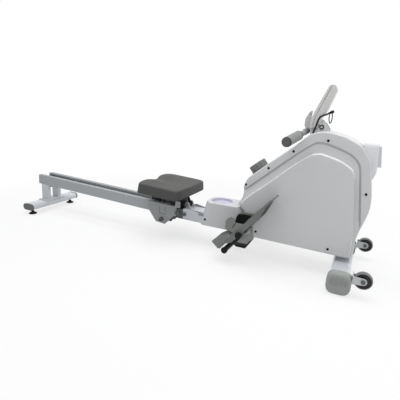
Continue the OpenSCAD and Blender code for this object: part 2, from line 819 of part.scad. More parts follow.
// One rail: a C section open to the middle, on the +Y side
module rail() {
    lip = 9;
    inner_y = rail_y - rail_flange;
    section = [[rail_y, rail_bottom], [rail_y, rail_top], [inner_y, rail_top],
        [inner_y, rail_top - lip], [inner_y + rail_wall, rail_top - lip],
        [inner_y + rail_wall, rail_top - rail_wall], [rail_y - rail_wall, rail_top - rail_wall],
        [rail_y - rail_wall, rail_bottom + rail_wall], [inner_y + rail_wall, rail_bottom + rail_wall],
        [inner_y + rail_wall, rail_bottom + lip], [inner_y, rail_bottom + lip],
        [inner_y, rail_bottom]];
    bead = 2.4;
    along_rails() {
        difference() {
            translate([rail_front, 0, 0]) rotate([90, 0, -90]) linear_extrude(rail_length)
                polygon([for (p = section) [-p[0], p[1]]]);
            translate([rail_rear - over, rail_y - 8, rail_top - bead / 2])
                cube([rail_length + 2 * over, bead, bead]);
        }
    }
}

module right_rail() {
    color("silver") mirror([0, 1, 0]) rail();
}

module left_rail() {
    color("silver") rail();
}

// Lock plates on the rails' outer faces, with the latch slot and the pin hole
slot_u = [-152, -110];
slot_w = [-70, -32];
module lock_plates() {
    profile = [[-225, rail_top - 2], [-225, rail_bottom + 10], [-211, rail_bottom - 3], [-169, -124],
        [-110, -128], [-62, -74], [-54, -66], [-54, rail_top - 7], [-24, rail_top - 5], [-24, 17],
        [-52, 17], [-56, rail_top - 2]];
    color("gray") along_rails() difference() {
        union() {
            both_sides() across(lock_y, lock_y + plate_t) difference() {
                polygon(profile);
                polygon([[slot_u[0], slot_w[1]], [slot_u[0], slot_w[0]], [slot_u[1], slot_w[0]],
                    [slot_u[1], slot_w[1]], [slot_u[1] - 6, slot_w[1]],
                    [slot_u[1] - 6, slot_w[0] + 12], [slot_u[0] + 6, slot_w[0] + 12],
                    [slot_u[0] + 6, slot_w[1]]]);
            }
            y_bar([lock_u, lock_w], lock_pin_d + 8, -lock_y, -lock_y + 12);
        }
        y_bar([lock_u, lock_w], lock_pin_d + 2 * run_gap, -2 * lock_y, 0);
    }
}

// Black cross bracket between the rails' front ends with the fold knuckles
knuckle_y = 20;
module hinge_bracket() {
    knuckle_d = hinge_bolt_d + 15;
    color("#222222") along_rails() difference() {
        union() {
            translate([rail_front, -rail_y, -56]) cube([6, 2 * rail_y, 56 - rail_drop + 24]);
            both_sides() across(knuckle_y - 8, knuckle_y) {
                circle(d = knuckle_d);
                polygon([[rail_front, -34], [rail_front, 36], [-12, 36], [0, knuckle_d / 2],
                    [0, -knuckle_d / 2]]);
            }
            translate([rail_front, -knuckle_y, 20]) cube([30, 2 * knuckle_y, 16]);
        }
        rotate([90, 0, 0]) cylinder(d = hinge_bolt_d + 2 * run_gap, h = 4 * knuckle_y, center = true);
    }
}

// Plates that close the rails' rear ends
module rail_end_caps() {
    color("gray") along_rails() both_sides()
        translate([rail_rear - end_cap_t, rail_y - rail_flange, rail_bottom])
            cube([end_cap_t, rail_flange, rail_h]);
}

post_w = 62;
post_t = 30;
post_y = rail_y - 13;
// Two flat oval posts and their saddle plate, between the rails and the rear foot
module rear_posts() {
    tube_top = rear_z + rear_h / 2;
    color("gainsboro") difference() {
        union() {
            for (y = [-post_y, post_y]) translate([rear_x, y, tube_top - 4])
                linear_extrude(200) difference() {
                    rounded(post_w, post_t, 14);
                    rounded(post_w - 2 * tube_wall, post_t - 2 * tube_wall, 11);
                }
            translate([rear_x - rear_w / 2 + 4, -75, tube_top - 4]) cube([rear_w - 8, 150, 8]);
        }
        along_rails() translate([rail_rear - 40, -2 * rail_y, rail_bottom])
            cube([rail_length, 4 * rail_y, 200]);
        rear_tube(rear_w, rear_h, 200, 0);
    }
}

// The rear tube is as long as its setting, or longer where the levelling stems and caps need it
level_stem = 10;
cap_skirt = 10;
cap_plug = 14;
rear_half = max(rear_length, level_span + 2 * (cap_skirt + cap_plug + level_stem / 2 + slack)) / 2;

// Flat oval bar along Y at the rear foot
module rear_tube(w, h, reach, from) {
    translate([rear_x, 0, rear_z]) across(from == 0 ? -reach : from, reach) rounded(w, h, h / 2 - 0.5);
}

// Rear stabiliser tube
module rear_stabilizer() {
    color("gainsboro") difference() {
        rear_tube(rear_w, rear_h, rear_half - cap_skirt, 0);
        rear_tube(rear_w - 2 * tube_wall, rear_h - 2 * tube_wall, rear_half, 0);
        both_sides() translate([rear_x, level_span / 2, 0]) cylinder(d = level_stem + 2 * run_gap, h = rear_z);
    }
}

// Plastic caps on the rear stabiliser's ends
module rear_caps() {
    color("dimgray") both_sides() {
        rear_tube(rear_w + 2, rear_h + 2, rear_half, rear_half - cap_skirt);
        rear_tube(rear_w - 2 * tube_wall, rear_h - 2 * tube_wall, rear_half - cap_skirt,
            rear_half - cap_skirt - cap_plug);
    }
}

// Rubber bumpers for the seat rollers at both ends of the rails, and the buffer bar of the posts
module rail_stops() {
    stop_y = roller_y - roller_w / 2;
    color("#222222") y_bar([rear_x + 12, 156], 16, -post_y + post_t / 2, post_y - post_t / 2);
    color("#222222") along_rails() both_sides() for (u = [rail_front - bumper, rail_rear])
        translate([u, stop_y, rail_bottom + rail_wall])
            cube([bumper, rail_y - rail_wall - stop_y, rail_h - 2 * rail_wall]);
}

// Levelling foot: disc and threaded stem, on the +Y side
level_h = 10;
module level_foot() {
    translate([rear_x, level_span / 2, 0]) {
        cylinder(d = level_d, h = level_h);
        cylinder(d = level_stem, h = rear_z);
        translate([0, 0, level_h]) cylinder(d = 18, h = 8, $fn = 6);
    }
}

module right_level_foot() {
    color("#222222") mirror([0, 1, 0]) level_foot();
}

module left_level_foot() {
    color("#222222") level_foot();
}

// Spring-loaded lock pin through the near lock plate into the fork's tongue, with a pull head
module lock_pin() {
    head_y = rail_y + plate_t + 1;
    color("dimgray") along_rails() difference() {
        union() {
            y_bar([lock_u, lock_w], lock_pin_d, -head_y, 10 - tongue_y);
            y_bar([lock_u, lock_w], 24, -head_y - 9, -head_y);
        }
        y_bar([lock_u, lock_w], 14, -head_y - 10, -head_y - 4);
    }
}

// Seat cushion: a saddle with a dip along the middle, humps at the rear and drawn-in sides
seat_sides = 64;
rim_rings = [[0.985, 0], [1, 0.05], [1, 0.2], [0.986, 0.7], [0.972, 0.9], [0.93, 1]];
top_rings = [0.76, 0.58, 0.38, 0.18];
function superellipse(k, power) = let (a = 360 * k / seat_sides, c = cos(a), s = sin(a))
    [c, s] * pow(pow(abs(c), power) + pow(abs(s), power), -1 / power);
function seat_plan(k, share) = let (p = superellipse(k, 9),
    x = p[0] * seat_length / 2, y = p[1] * seat_width / 2,
    notch = x < 0 ? 16 * exp(-pow(y / 46, 2)) : 0)
    [share * (x + notch), share * y];
function crown(p) = let (x = p[0] / (seat_length / 2), y = p[1] / (seat_width / 2))
    10 * exp(-pow((x + 0.55) / 0.42, 2) - pow((abs(y) - 0.52) / 0.3, 2))
        - 5 * exp(-pow(y / 0.28, 2)) * (0.6 - 0.4 * x) - 3 * max(0, x) * x;
function seat_ring(share, z, follow) = [for (k = [0 : seat_sides - 1])
    let (p = seat_plan(k, share)) [p[0], p[1], z + follow * crown(p)]];
function seat_points() = concat(
    [for (r = rim_rings) each seat_ring(r[0], seat_side * r[1], r[1])],
    [for (s = top_rings) each seat_ring(s, seat_side + 1.5, 1)],
    [[0, 0, seat_side + 1.5 + crown([0, 0])], [0, 0, 0]]);
module seat_cushion() {
    rings = len(rim_rings) + len(top_rings);
    n = seat_sides;
    walls = [for (i = [0 : rings - 2], k = [0 : n - 1]) let (a = i * n + k, b = i * n + (k + 1) % n)
        each [[a, a + n, b + n], [a, b + n, b]]];
    lid = [for (k = [0 : n - 1]) [(rings - 1) * n + k, rings * n, (rings - 1) * n + (k + 1) % n]];
    base = [for (k = [0 : n - 1]) [k, (k + 1) % n, rings * n + 1]];
    color("dimgray") along_rails() translate([seat_u, 0, seat_w + touch_gap])
        polyhedron(points = seat_points(), faces = concat(walls, lid, base), convexity = 6);
}

// Steel pan under the cushion
module seat_pan() {
    color("#222222") along_rails() translate([seat_u - 92, -110, seat_w - pan_t])
        cube([176, 220, pan_t]);
}

// Carriage: two side plates between the rails with the roller axles through them
module seat_carriage() {
    top = seat_w - pan_t;
    rear = rear_roller_u - 16;
    front = front_roller_u + 14;
    color("#222222") along_rails() {
        difference() {
            union() {
                both_sides() across(carriage_y - 3, carriage_y + 1) polygon([[rear, roller_z - 12],
                    [front, roller_z - 12], [front, top], [rear, top]]);
                translate([rear, -carriage_y, top - 4]) cube([front - rear, 2 * carriage_y, 4]);
            }
            for (u = [front_roller_u, rear_roller_u])
                y_bar([u, roller_z], roller_axle_d, -60, 60);
            both_sides() across(0, 60) polygon([[rear + 34, roller_z + 14], [front - 34, roller_z + 14],
                [front - 46, top - 16], [rear + 46, top - 16]]);
        }
        for (u = [front_roller_u, rear_roller_u])
            y_bar([u, roller_z], roller_axle_d, -roller_y - roller_w / 2, roller_y + roller_w / 2);
    }
}

// A pair of seat rollers on one axle
module roller_pair(u) {
    along_rails() both_sides() difference() {
        y_bar([u, roller_z], roller_d, roller_y - roller_w / 2, roller_y + roller_w / 2);
        y_bar([u, roller_z], roller_axle_d + 2 * run_gap, 0, rail_y);
    }
}

module front_rollers() {
    color("white") roller_pair(front_roller_u);
}

module rear_rollers() {
    color("white") roller_pair(rear_roller_u);
}

// Frame of the handle, lying a little askew under its hook
module along_handle() {
    translate([handle_at[0], 0, handle_at[1]]) rotate([0, 0, -handle_yaw])
        rotate([handle_tilt, 0, 0]) children();
}

// Pull handle: a tube with end caps and the strap's clip
module handle_bar() {
    color("silver") along_handle() {
        y_bar([0, 0], handle_d, -handle_length / 2 + 6, handle_length / 2 - 6);
        both_sides() {
            y_bar([0, 0], grip_d - 6, handle_length / 2 - 6, handle_length / 2);
            y_bar([0, 0], grip_d - 4, grip_start - 6, grip_start);
            y_bar([0, 0], handle_d + 3, strap_w / 2 + 2.5, strap_w / 2 + 5.5);
        }
    }
}

// Foam grips on both halves of the handle
module handle_grips() {
    color("gray") along_handle() both_sides() difference() {
        y_bar([0, 0], grip_d, grip_start, grip_start + grip_length);
        y_bar([0, 0], handle_d, 0, handle_length);
    }
}

// Strap from the handle to the guide roller; it pays out as the handle is pulled
module pull_strap() {
    run = norm(roller_at - handle_at) - handle_d / 2 - 5;
    lift = guide_d / 2 + touch_gap;
    color("black") translate([roller_at[0], 0, roller_at[1]]) rotate([0, -strap_out, 0])
        translate([-run, -strap_w / 2, lift]) cube([run, strap_w, strap_t]);
}

// Drum between the frame plates, with the strap wound on it
module strap_drum() {
    half = mast_y - mast_t / 2 - 1;
    wound = 16;
    color("gray") difference() {
        union() {
            y_bar(drum_at, drum_d, -half, half);
            for (y = [-half, half - 3]) y_bar(drum_at, drum_d + 2 * wound, y, y + 3);
        }
        y_bar(drum_at, shaft_d + 2 * run_gap, -2 * half, 2 * half);
    }
}

// Drive pulley and the shaft that it turns
module drive_pulley() {
    color("#222222") {
        y_bar(drum_at, shaft_d, belt_y - belt_w / 2 - 4, mast_y + mast_t + bearing_w);
        difference() {
            y_bar(drum_at, pulley_d, belt_y - belt_w / 2, belt_y + belt_w / 2);
            y_bar(drum_at, shaft_d, -60, 0);
            for (a = [0 : 60 : 300])
                y_bar(drum_at + 50 * [cos(a), sin(a)], 30, belt_y - belt_w, belt_y + belt_w);
        }
    }
}

// Cast flywheel with its shaft and the small pulley
module flywheel() {
    rim = 24;
    color("dimgray") difference() {
        union() {
            y_bar(wheel_at, flywheel_d, flywheel_y, flywheel_y + flywheel_t);
            y_bar(wheel_at, shaft_d, belt_y - belt_w / 2 - 4, flywheel_y + flywheel_t + 6);
            y_bar(wheel_at, 40, flywheel_y - 4, flywheel_y + flywheel_t + 4);
            y_bar(wheel_at, pinion_d, belt_y - belt_w / 2, belt_y + belt_w / 2);
        }
        for (side = [flywheel_y - over, flywheel_y + flywheel_t - 5]) difference() {
            y_bar(wheel_at, flywheel_d - 2 * rim, side, side + 6);
            y_bar(wheel_at, 60, side - over, side + 7);
        }
    }
}

// Roller that guides the strap out of the housing
module guide_roller() {
    half = mast_y - mast_t / 2 - 1;
    color("white") difference() {
        y_bar(roller_at, guide_d, -half, half);
        y_bar(roller_at, pin_d + 2 * run_gap, -2 * half, 2 * half);
    }
}

// Place of the tension knob: origin on the housing's sloped face, Z along the knob's axis
module knob_place() {
    translate([knob_at[0], 0, knob_at[1]]) rotate([0, -knob_tilt, 0]) children();
}

// Fluted tension knob with its stem
module tension_knob() {
    flutes = 12;
    color("gray") knob_place() {
        translate([0, 0, -24]) cylinder(d = 12, h = 24 + slack - run_gap);
        translate([0, 0, slack]) cylinder(d = knob_d + 3, h = 3);
        difference() {
            translate([0, 0, slack + 3 - 0.01]) cylinder(d = knob_d, h = knob_h - 3);
            for (i = [0 : flutes - 1]) rotate(i * 360 / flutes)
                translate([knob_d / 2 + 4, 0, 8]) cylinder(d = 14, h = knob_h);
        }
    }
}

// Magnet bracket over the flywheel's rim, swung clear of it at the lowest setting
module magnet_bracket() {
    inner_r = flywheel_d / 2 - 16;
    outer_r = flywheel_d / 2 + 12;
    near = flywheel_y - brake_gap;
    far = flywheel_y + flywheel_t + brake_gap;
    start = 62;
    end = 128;
    color("silver") translate([brake_at[0], 0, brake_at[1]]) rotate([0, -brake_swing, 0])
    translate([-brake_at[0], 0, -brake_at[1]]) difference() {
        union() {
            for (y = [near - 3, far]) across(y, y + 3) {
                arc_band(inner_r, outer_r, start, end);
                translate(brake_at) circle(d = 22);
                polygon([brake_at + [-9, 0], brake_at + [0, 11], [-150, 486], [-190, 455]]);
            }
            across(near - 3, far + 3) arc_band(outer_r - 4, outer_r, start, end);
            for (y = [near, far - 3], a = [start + 8 : 18 : end - 4])
                y_bar(wheel_at + (flywheel_d / 2 - 4) * [cos(a), sin(a)], 22, y, y + 3);
        }
        y_bar(brake_at, pin_d + 2 * run_gap, 0, 2 * panel_y);
    }
}

// Flat sector of a ring round the flywheel's axis
module arc_band(inner, outer, start, end) {
    steps = 12;
    out = [for (i = [0 : steps]) let (a = start + (end - start) * i / steps)
        wheel_at + outer * [cos(a), sin(a)]];
    back = [for (i = [steps : -1 : 0]) let (a = start + (end - start) * i / steps)
        wheel_at + inner * [cos(a), sin(a)]];
    polygon(concat(out, back));
}

// Foot plate on the +Y side: a ribbed plate on two hubs round the cross tube
foot_y = foot_gap / 2;
module footplate() {
    high = foot_low + foot_length;
    along_foot() difference() {
        union() {
            translate([foot_low, foot_y, plate_n]) cube([foot_length - foot_width / 2, foot_width, foot_t]);
            translate([high - foot_width / 2, foot_y + foot_width / 2, plate_n])
                cylinder(d = foot_width, h = foot_t);
            for (y = [foot_y + 6, foot_y + foot_width - 26])
                y_bar([0, 0], cross_d + 2 * hub_t + 2, y, y + 20);
            translate([-12, foot_y + 6, 0]) cube([24, 20, plate_n + over]);
            translate([-12, foot_y + foot_width - 26, 0]) cube([24, 20, plate_n + over]);
            for (i = [0 : 5]) translate([70 + 24 * i, foot_y + 10, plate_n + foot_t])
                cube([6, foot_width - 20, 2]);
            for (y = [foot_y, foot_y + foot_width - 4])
                across(y, y + 4) polygon([[foot_low + 6, plate_n - 6], [-84, plate_n - 6],
                    [-56, -4], [128, -4], [high - foot_width / 2, plate_n], [foot_low + 6, plate_n + 2]]);
        }
        y_bar([0, 0], cross_d + 2 * run_gap, 0, 300);
        for (i = [0 : 2]) translate([foot_low + 26 + 26 * i, foot_y + foot_width / 2 - 4, 0])
            cube([14, 8, 60]);
    }
}

module right_footplate() {
    color("dimgray") mirror([0, 1, 0]) footplate();
}

module left_footplate() {
    color("dimgray") footplate();
}

// Heel cup that slides along the foot plate
module heel_cup() {
    base_n = plate_n + foot_t + touch_gap;
    cup_l = 96;
    wall = 4;
    along_foot() translate([foot_low + 1, foot_y, base_n]) difference() {
        across(0, foot_width) polygon([[0, 0], [cup_l, 0], [cup_l, 16], [60, 26], [20, 38], [0, 38]]);
        translate([0, foot_width / 2, wall]) intersection() {
            translate([wall, -foot_width / 2 + wall, 0]) cube([cup_l, foot_width - 2 * wall, 60]);
            union() {
                translate([foot_width / 2, 0, 0]) cylinder(r = foot_width / 2 - wall, h = 60);
                translate([foot_width / 2, -foot_width / 2 + wall, 0])
                    cube([cup_l, foot_width - 2 * wall, 60]);
            }
        }
    }
}

module right_heel_cup() {
    color("gray") mirror([0, 1, 0]) heel_cup();
}

module left_heel_cup() {
    color("gray") heel_cup();
}

// Strap over the foot: a band arched across the plate
strap_root = [33, 4];
strap_band = 76;
strap_end = 50;
strap_reach = 120;
function arch(w, h, steps) = [for (i = [0 : steps]) let (a = 180 * i / steps)
    [w / 2 * cos(a), h * pow(sin(a), 0.8)]];
module foot_strap() {
    thick = 4;
    steps = 24;
    outer = arch(foot_width, strap_reach, steps);
    inner = arch(foot_width - 2 * thick, strap_reach - thick, steps);
    band = concat(outer, [for (i = [steps : -1 : 0]) inner[i]]);
    low = pedal_at[1] + strap_root[1];
    difference() {
        translate([pedal_at[0] + strap_root[0], foot_y + foot_width / 2, low])
            linear_extrude(strap_band) rotate(90) polygon(band);
        along_foot() translate([-200, foot_y - 10, -200]) cube([400, foot_width + 20, 200 + plate_n + foot_t]);
        translate([pedal_at[0] - 32, foot_y + foot_width * 0.7, low + strap_end])
            cube([200, foot_width, strap_band]);
    }
}

module right_foot_strap() {
    color("#333333") mirror([0, 1, 0]) foot_strap();
}

module left_foot_strap() {
    color("#333333") foot_strap();
}

// Transport wheel on the +Y side
module caster_wheel() {
    mid = caster_span / 2;
    difference() {
        y_bar([caster_x, caster_z], caster_d, mid - caster_w / 2, mid + caster_w / 2);
        y_bar([caster_x, caster_z], pin_d + 2 * run_gap, 0, caster_span);
        for (y = [mid - caster_w / 2 - over, mid + caster_w / 2 - 4]) difference() {
            y_bar([caster_x, caster_z], caster_d - 20, y, y + 5);
            y_bar([caster_x, caster_z], 20, y - over, y + 6);
        }
    }
}

module right_caster_wheel() {
    color("gray") mirror([0, 1, 0]) caster_wheel();
}

module left_caster_wheel() {
    color("gray") caster_wheel();
}

centred() front_stabilizer();
centred() front_boots();
centred() stabilizer_bracket();
centred() main_beam();
centred() hinge_fork();
centred() hinge_bolt();
centred() frame_bolts();
centred() beam_cover();
centred() right_housing();
centred() left_housing();
centred() nose_cover();
centred() rubber_pads();
centred() frame_plates();
centred() shaft_bearings();
centred() console_arm_front();
centred() console_arm_rear();
centred() handle_hook();
centred() centre_foot();
centred() pedal_tubes();
centred() pedal_tube_caps();
centred() housing_screws();
centred() caster_brackets();
centred() console_cable();
centred() cable_plug();
centred() inner_strap();
centred() drive_belt();
centred() right_rail();
centred() left_rail();
centred() lock_plates();
centred() hinge_bracket();
centred() rail_end_caps();
centred() rear_posts();
centred() rear_stabilizer();
centred() rear_caps();
centred() rail_stops();
centred() right_level_foot();
centred() left_level_foot();
centred() lock_pin();
centred() seat_cushion();
centred() seat_pan();
centred() seat_carriage();
centred() front_rollers();
centred() rear_rollers();
centred() handle_bar();
centred() handle_grips();
centred() pull_strap();
centred() strap_drum();
centred() drive_pulley();
centred() flywheel();
centred() guide_roller();
centred() tension_knob();
centred() magnet_bracket();
centred() right_footplate();
centred() left_footplate();
centred() right_heel_cup();
centred() left_heel_cup();
centred() right_foot_strap();
centred() left_foot_strap();
centred() right_caster_wheel();
centred() left_caster_wheel();
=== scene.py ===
import bpy
import bmesh
import math
from mathutils import Matrix, Vector


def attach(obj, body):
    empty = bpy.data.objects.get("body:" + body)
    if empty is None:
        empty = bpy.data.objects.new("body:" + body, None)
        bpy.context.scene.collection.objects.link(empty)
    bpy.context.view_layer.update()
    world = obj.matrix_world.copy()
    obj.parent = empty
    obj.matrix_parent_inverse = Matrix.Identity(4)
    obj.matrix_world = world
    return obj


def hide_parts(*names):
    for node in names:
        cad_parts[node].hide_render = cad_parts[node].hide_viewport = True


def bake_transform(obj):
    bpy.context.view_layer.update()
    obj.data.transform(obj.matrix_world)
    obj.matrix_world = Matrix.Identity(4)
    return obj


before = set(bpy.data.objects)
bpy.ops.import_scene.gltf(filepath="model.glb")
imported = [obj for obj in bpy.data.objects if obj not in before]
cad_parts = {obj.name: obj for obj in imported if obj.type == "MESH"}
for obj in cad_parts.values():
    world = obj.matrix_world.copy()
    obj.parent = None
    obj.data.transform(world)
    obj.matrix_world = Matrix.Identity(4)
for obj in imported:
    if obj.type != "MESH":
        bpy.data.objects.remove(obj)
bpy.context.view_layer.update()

# Places are given in the source's millimetres: X forwards, Y to the left, Z up
SHIFT = 881.0007                # added to the source's X gives the part's X
FRONT = "front_frame"
SIDES = ((-1, "right"), (1, "left"))
FOLD_AT, RAIL_SLOPE = (-820, 198), math.radians(2.4)
FOOT_AT, FOOT_TILT = (-458, 156), 49
FOOT_MIDDLE = 155               # from the middle plane to the middle of a foot plate
BEAM_AT, BEAM_SLOPE = (0, 109), 1.3
ROLLER_AT = (-180, 660)
HANDLE_AT, HANDLE_TURN, HANDLE_TILT = (-250, 634), math.radians(-8), math.radians(8)
KNOB_AT, KNOB_TILT = (-440, 437.5), math.radians(39.5)
CASTER_AT = (84, 225, 78)
LEVEL_AT = (-1836, 159)
CUP_X = -628
PLUG_AT, PLUG_LEAN = (-160, -28, 719), math.radians(28)


def part(x, y, z):
    """A place in the source's millimetres, in the part's frame."""
    return Vector(((x + SHIFT) / 1000, y / 1000, z / 1000))


def make_camera():
    """The camera, fitted to the photograph."""
    yaw, pitch, roll = (math.radians(a) for a in (24.01, 15.04, -3.25))
    ahead = Vector((-math.sin(yaw) * math.cos(pitch), math.cos(yaw) * math.cos(pitch), -math.sin(pitch)))
    right = Vector((math.cos(yaw), math.sin(yaw), 0))
    down = ahead.cross(right)
    rolled_right = right * math.cos(roll) + down * math.sin(roll)
    rolled_down = -right * math.sin(roll) + down * math.cos(roll)
    turn = Matrix((rolled_right, -rolled_down, -ahead)).transposed().to_4x4()
    data = bpy.data.cameras.new("camera")
    data.lens = 32.578
    data.sensor_width = 36
    data.clip_start = 0.02
    cam = bpy.data.objects.new("camera", data)
    cam.matrix_world = Matrix.Translation((0.8910, -1.7196, 0.7346)) @ turn
    bpy.context.scene.collection.objects.link(cam)
    bpy.context.scene.camera = cam


make_camera()


# ---------------------------------------------------------------- materials
def linear(rgb):
    """A screen colour of 0 to 255 as linear light."""
    return [((c / 255 + 0.055) / 1.055) ** 2.4 if c > 10 else c / 255 / 12.92 for c in rgb]


def put(node, **values):
    """Sets inputs of a node by name, with _ for each space."""
    for name, value in values.items():
        node.inputs[name.replace("_", " ")].default_value = value
    return node


def maths(new, link, operation, a, b):
    """A math node on a socket and another socket or number."""
    node = new("ShaderNodeMath")
    node.operation = operation
    link(a, node.inputs[0])
    if isinstance(b, float):
        node.inputs[1].default_value = b
    elif b:
        link(b, node.inputs[1])
    return node.outputs[0]


def toned(new, link, factor, under, over):
    """A colour mix from the socket or colour under to the colour over."""
    mix = new("ShaderNodeMix")
    mix.data_type = "RGBA"
    if isinstance(under, list):
        mix.inputs[6].default_value = (*under, 1)
    else:
        link(under, mix.inputs[6])
    mix.inputs[7].default_value = (*over, 1)
    link(factor, mix.inputs["Factor"])
    return mix.outputs[2]


def relief_height(new, link, place, kind, grain):
    """Height of the fine surface: weave, leather, brushed streaks or plain grain."""
    if kind == "weave":
        fine = put(new("ShaderNodeTexBrick"), Scale=grain, Mortar_Size=0.04, Mortar_Smooth=1.0,
                   Brick_Width=1.0, Row_Height=0.5, Color1=(1, 1, 1, 1), Color2=(0.7, 0.7, 0.7, 1), Mortar=(0, 0, 0, 1))
        fine.offset = 0.5
        link(place, fine.inputs["Vector"])
        return fine.outputs["Color"]
    if kind == "leather":
        cells = new("ShaderNodeTexVoronoi")
        cells.feature = "SMOOTH_F1"
        put(cells, Scale=grain, Smoothness=0.4)
        link(place, cells.inputs["Vector"])
        return cells.outputs["Distance"]
    if kind == "brushed":
        streak = put(new("ShaderNodeMapping"), Scale=(0.03, 1, 1))
        link(place, streak.inputs["Vector"])
        place = streak.outputs["Vector"]
    fine = put(new("ShaderNodeTexNoise"), Scale=grain, Detail=3)
    link(place, fine.inputs["Vector"])
    return fine.outputs["Fac"]


def in_zone(new, link, place, axis, test, limit):
    """1 where the place lies above, below or on both sides beyond a limit along an axis."""
    axes = new("ShaderNodeSeparateXYZ")
    link(place, axes.inputs[0])
    value = axes.outputs[axis]
    if test == "BEYOND":
        value = maths(new, link, "ABSOLUTE", value, None)
    return maths(new, link, "LESS_THAN" if test == "BELOW" else "GREATER_THAN", value, limit)


def finish(name, rgb, rough=0.5, metal=0.0, grain=900, bump=0.12, depth=0.0002, mottle=0.05, cloud=16,
           coat=0.0, edge=0.0012, wear_and_edge_highlight=0.0, sheen=0.0, kind="noise", spread=0.08, spec=0.5, zone=None):
    """A procedural finish: clouded colour, fine surface, soft edges, and edges painted lighter, partly as wear and
    partly as painted highlight.

    zone is (axis, test, limit in metres, colour there).
    """
    m = bpy.data.materials.new(name)
    m.use_nodes = True
    t = m.node_tree
    new, link = t.nodes.new, t.links.new
    base = linear(rgb)
    b = put(t.nodes["Principled BSDF"], Metallic=metal, Coat_Weight=coat, Coat_Roughness=0.2,
            Sheen_Weight=sheen, Specular_IOR_Level=spec)
    m.diffuse_color = (*base, 1)
    place = new("ShaderNodeTexCoord").outputs["Object"]
    soft = put(new("ShaderNodeTexNoise"), Scale=cloud, Detail=4)
    link(place, soft.inputs["Vector"])
    colour = toned(new, link, soft.outputs["Fac"], [c * (1 - mottle) for c in base],
                   [min(1, c * (1 + mottle)) for c in base])
    if zone:
        colour = toned(new, link, in_zone(new, link, place, *zone[:3]), colour, linear(zone[3]))
    span = put(new("ShaderNodeMapRange"), To_Min=max(0.02, rough - spread), To_Max=min(1, rough + spread))
    link(soft.outputs["Fac"], span.inputs["Value"])
    link(span.outputs["Result"], b.inputs["Roughness"])
    relief = put(new("ShaderNodeBump"), Strength=bump, Distance=depth)
    link(relief_height(new, link, place, kind, grain), relief.inputs["Height"])
    link(relief.outputs["Normal"], b.inputs["Normal"])
    if edge:
        bevel = put(new("ShaderNodeBevel"), Radius=edge)
        bevel.samples = 4
        link(bevel.outputs["Normal"], relief.inputs["Normal"])
        # Painted highlight and wear: every edge is lightened towards a paler colour
        if wear_and_edge_highlight:
            dot = new("ShaderNodeVectorMath")
            dot.operation = "DOT_PRODUCT"
            link(bevel.outputs["Normal"], dot.inputs[0])
            link(new("ShaderNodeNewGeometry").outputs["Normal"], dot.inputs[1])
            worn_and_lit_edge = put(new("ShaderNodeMapRange"), From_Min=0.995, From_Max=0.8, To_Max=wear_and_edge_highlight)
            link(dot.outputs["Value"], worn_and_lit_edge.inputs["Value"])
            colour = toned(new, link, worn_and_lit_edge.outputs["Result"], colour, [min(1, c * 1.35 + 0.04) for c in base])
    link(colour, b.inputs["Base Color"])
    return m


# What some finishes share: moulded plastic, painted steel, rubber, foam and woven web
# The edge amounts below lighten every edge: partly wear, partly painted highlight
MOULDED = dict(grain=1500, bump=0.08)
PAINTED = dict(rough=0.3, coat=0.25, mottle=0.02, grain=420, bump=0.06, wear_and_edge_highlight=0.3)
RUBBERY = dict(grain=1300, bump=0.3, spec=0.3)
FOAMY = dict(cloud=60, grain=1500, bump=0.5, depth=0.0004, edge=0)
WOVEN = dict(kind="weave", edge=0)

SHELL = finish("shell_plastic", (205, 206, 207), 0.42, mottle=0.015, edge=0.0007, wear_and_edge_highlight=0.25, **MOULDED)
COVER = finish("cover_plastic", (196, 198, 200), 0.42, mottle=0.015, edge=0.0015, wear_and_edge_highlight=0.2, **MOULDED)
# Painted shade: a darker lavender-grey for the floor and walls of the cup recess
CUP_RECESS_SHADE = finish("cup_floor", (186, 183, 200), 0.5, mottle=0.015, edge=0, **MOULDED)
# Painted shade: a darker colour for the inward-facing step wall of the groove on the housing shells
STEP_WALL_SHADE = finish("shell_step_painted_shade", (166, 167, 170), 0.45, mottle=0.01, grain=1500, bump=0.05, edge=0)
# Painted highlight: a near-white colour for the upward-facing wall of the housing's raised panel
PANEL_EDGE_HIGHLIGHT = finish("shell_panel_highlight", (246, 246, 247), 0.35, mottle=0.01, grain=1500, bump=0.05, edge=0)
NOSE = finish("nose_plastic", (226, 226, 229), 0.4, mottle=0.012, **MOULDED)
ARM = finish("arm_plastic", (208, 208, 206), 0.45, mottle=0.02, wear_and_edge_highlight=0.2, **MOULDED)
HOOK = finish("hook_plastic", (190, 187, 190), 0.5, mottle=0.03, grain=1400, bump=0.1, wear_and_edge_highlight=0.2)
PAINT = finish("frame_paint", (193, 196, 201), depth=0.0004, **PAINTED)
RAIL = finish("rail_metal", (164, 167, 169), 0.6, spec=0.3, mottle=0.03, grain=700, bump=0.05, kind="brushed",
              wear_and_edge_highlight=0.3)
BRACKET = finish("bracket_steel", (186, 189, 190), 0.35, metal=0.2, mottle=0.03, wear_and_edge_highlight=0.35)
ROLL_FRAME = finish("roller_plate", (214, 215, 217), 0.35, mottle=0.02, wear_and_edge_highlight=0.3)
ZINC = finish("bare_steel", (176, 178, 180), 0.32, metal=0.85, mottle=0.06, grain=600, kind="brushed")
PLATE = finish("lock_paint", (150, 153, 154), 0.42, mottle=0.03, wear_and_edge_highlight=0.3)
FORK = finish("fork_paint", (193, 196, 201), zone=("X", "BELOW", 0.056, (60, 62, 64)), **PAINTED)
DARK = finish("dark_paint", (40, 42, 43), 0.42, mottle=0.06, grain=500, bump=0.08, wear_and_edge_highlight=0.25)
BOLT = finish("bolt_steel", (92, 94, 96), 0.34, metal=0.8, mottle=0.1, wear_and_edge_highlight=0.5)
BLACK = finish("black_plastic", (24, 24, 25), 0.5, mottle=0.1, bump=0.15)
INK = finish("ink_plastic", (9, 9, 10), 0.7, mottle=0.08, bump=0.1, spec=0.25, edge=0)
RUBBER = finish("black_rubber", (30, 30, 31), 0.75, mottle=0.12, **RUBBERY)
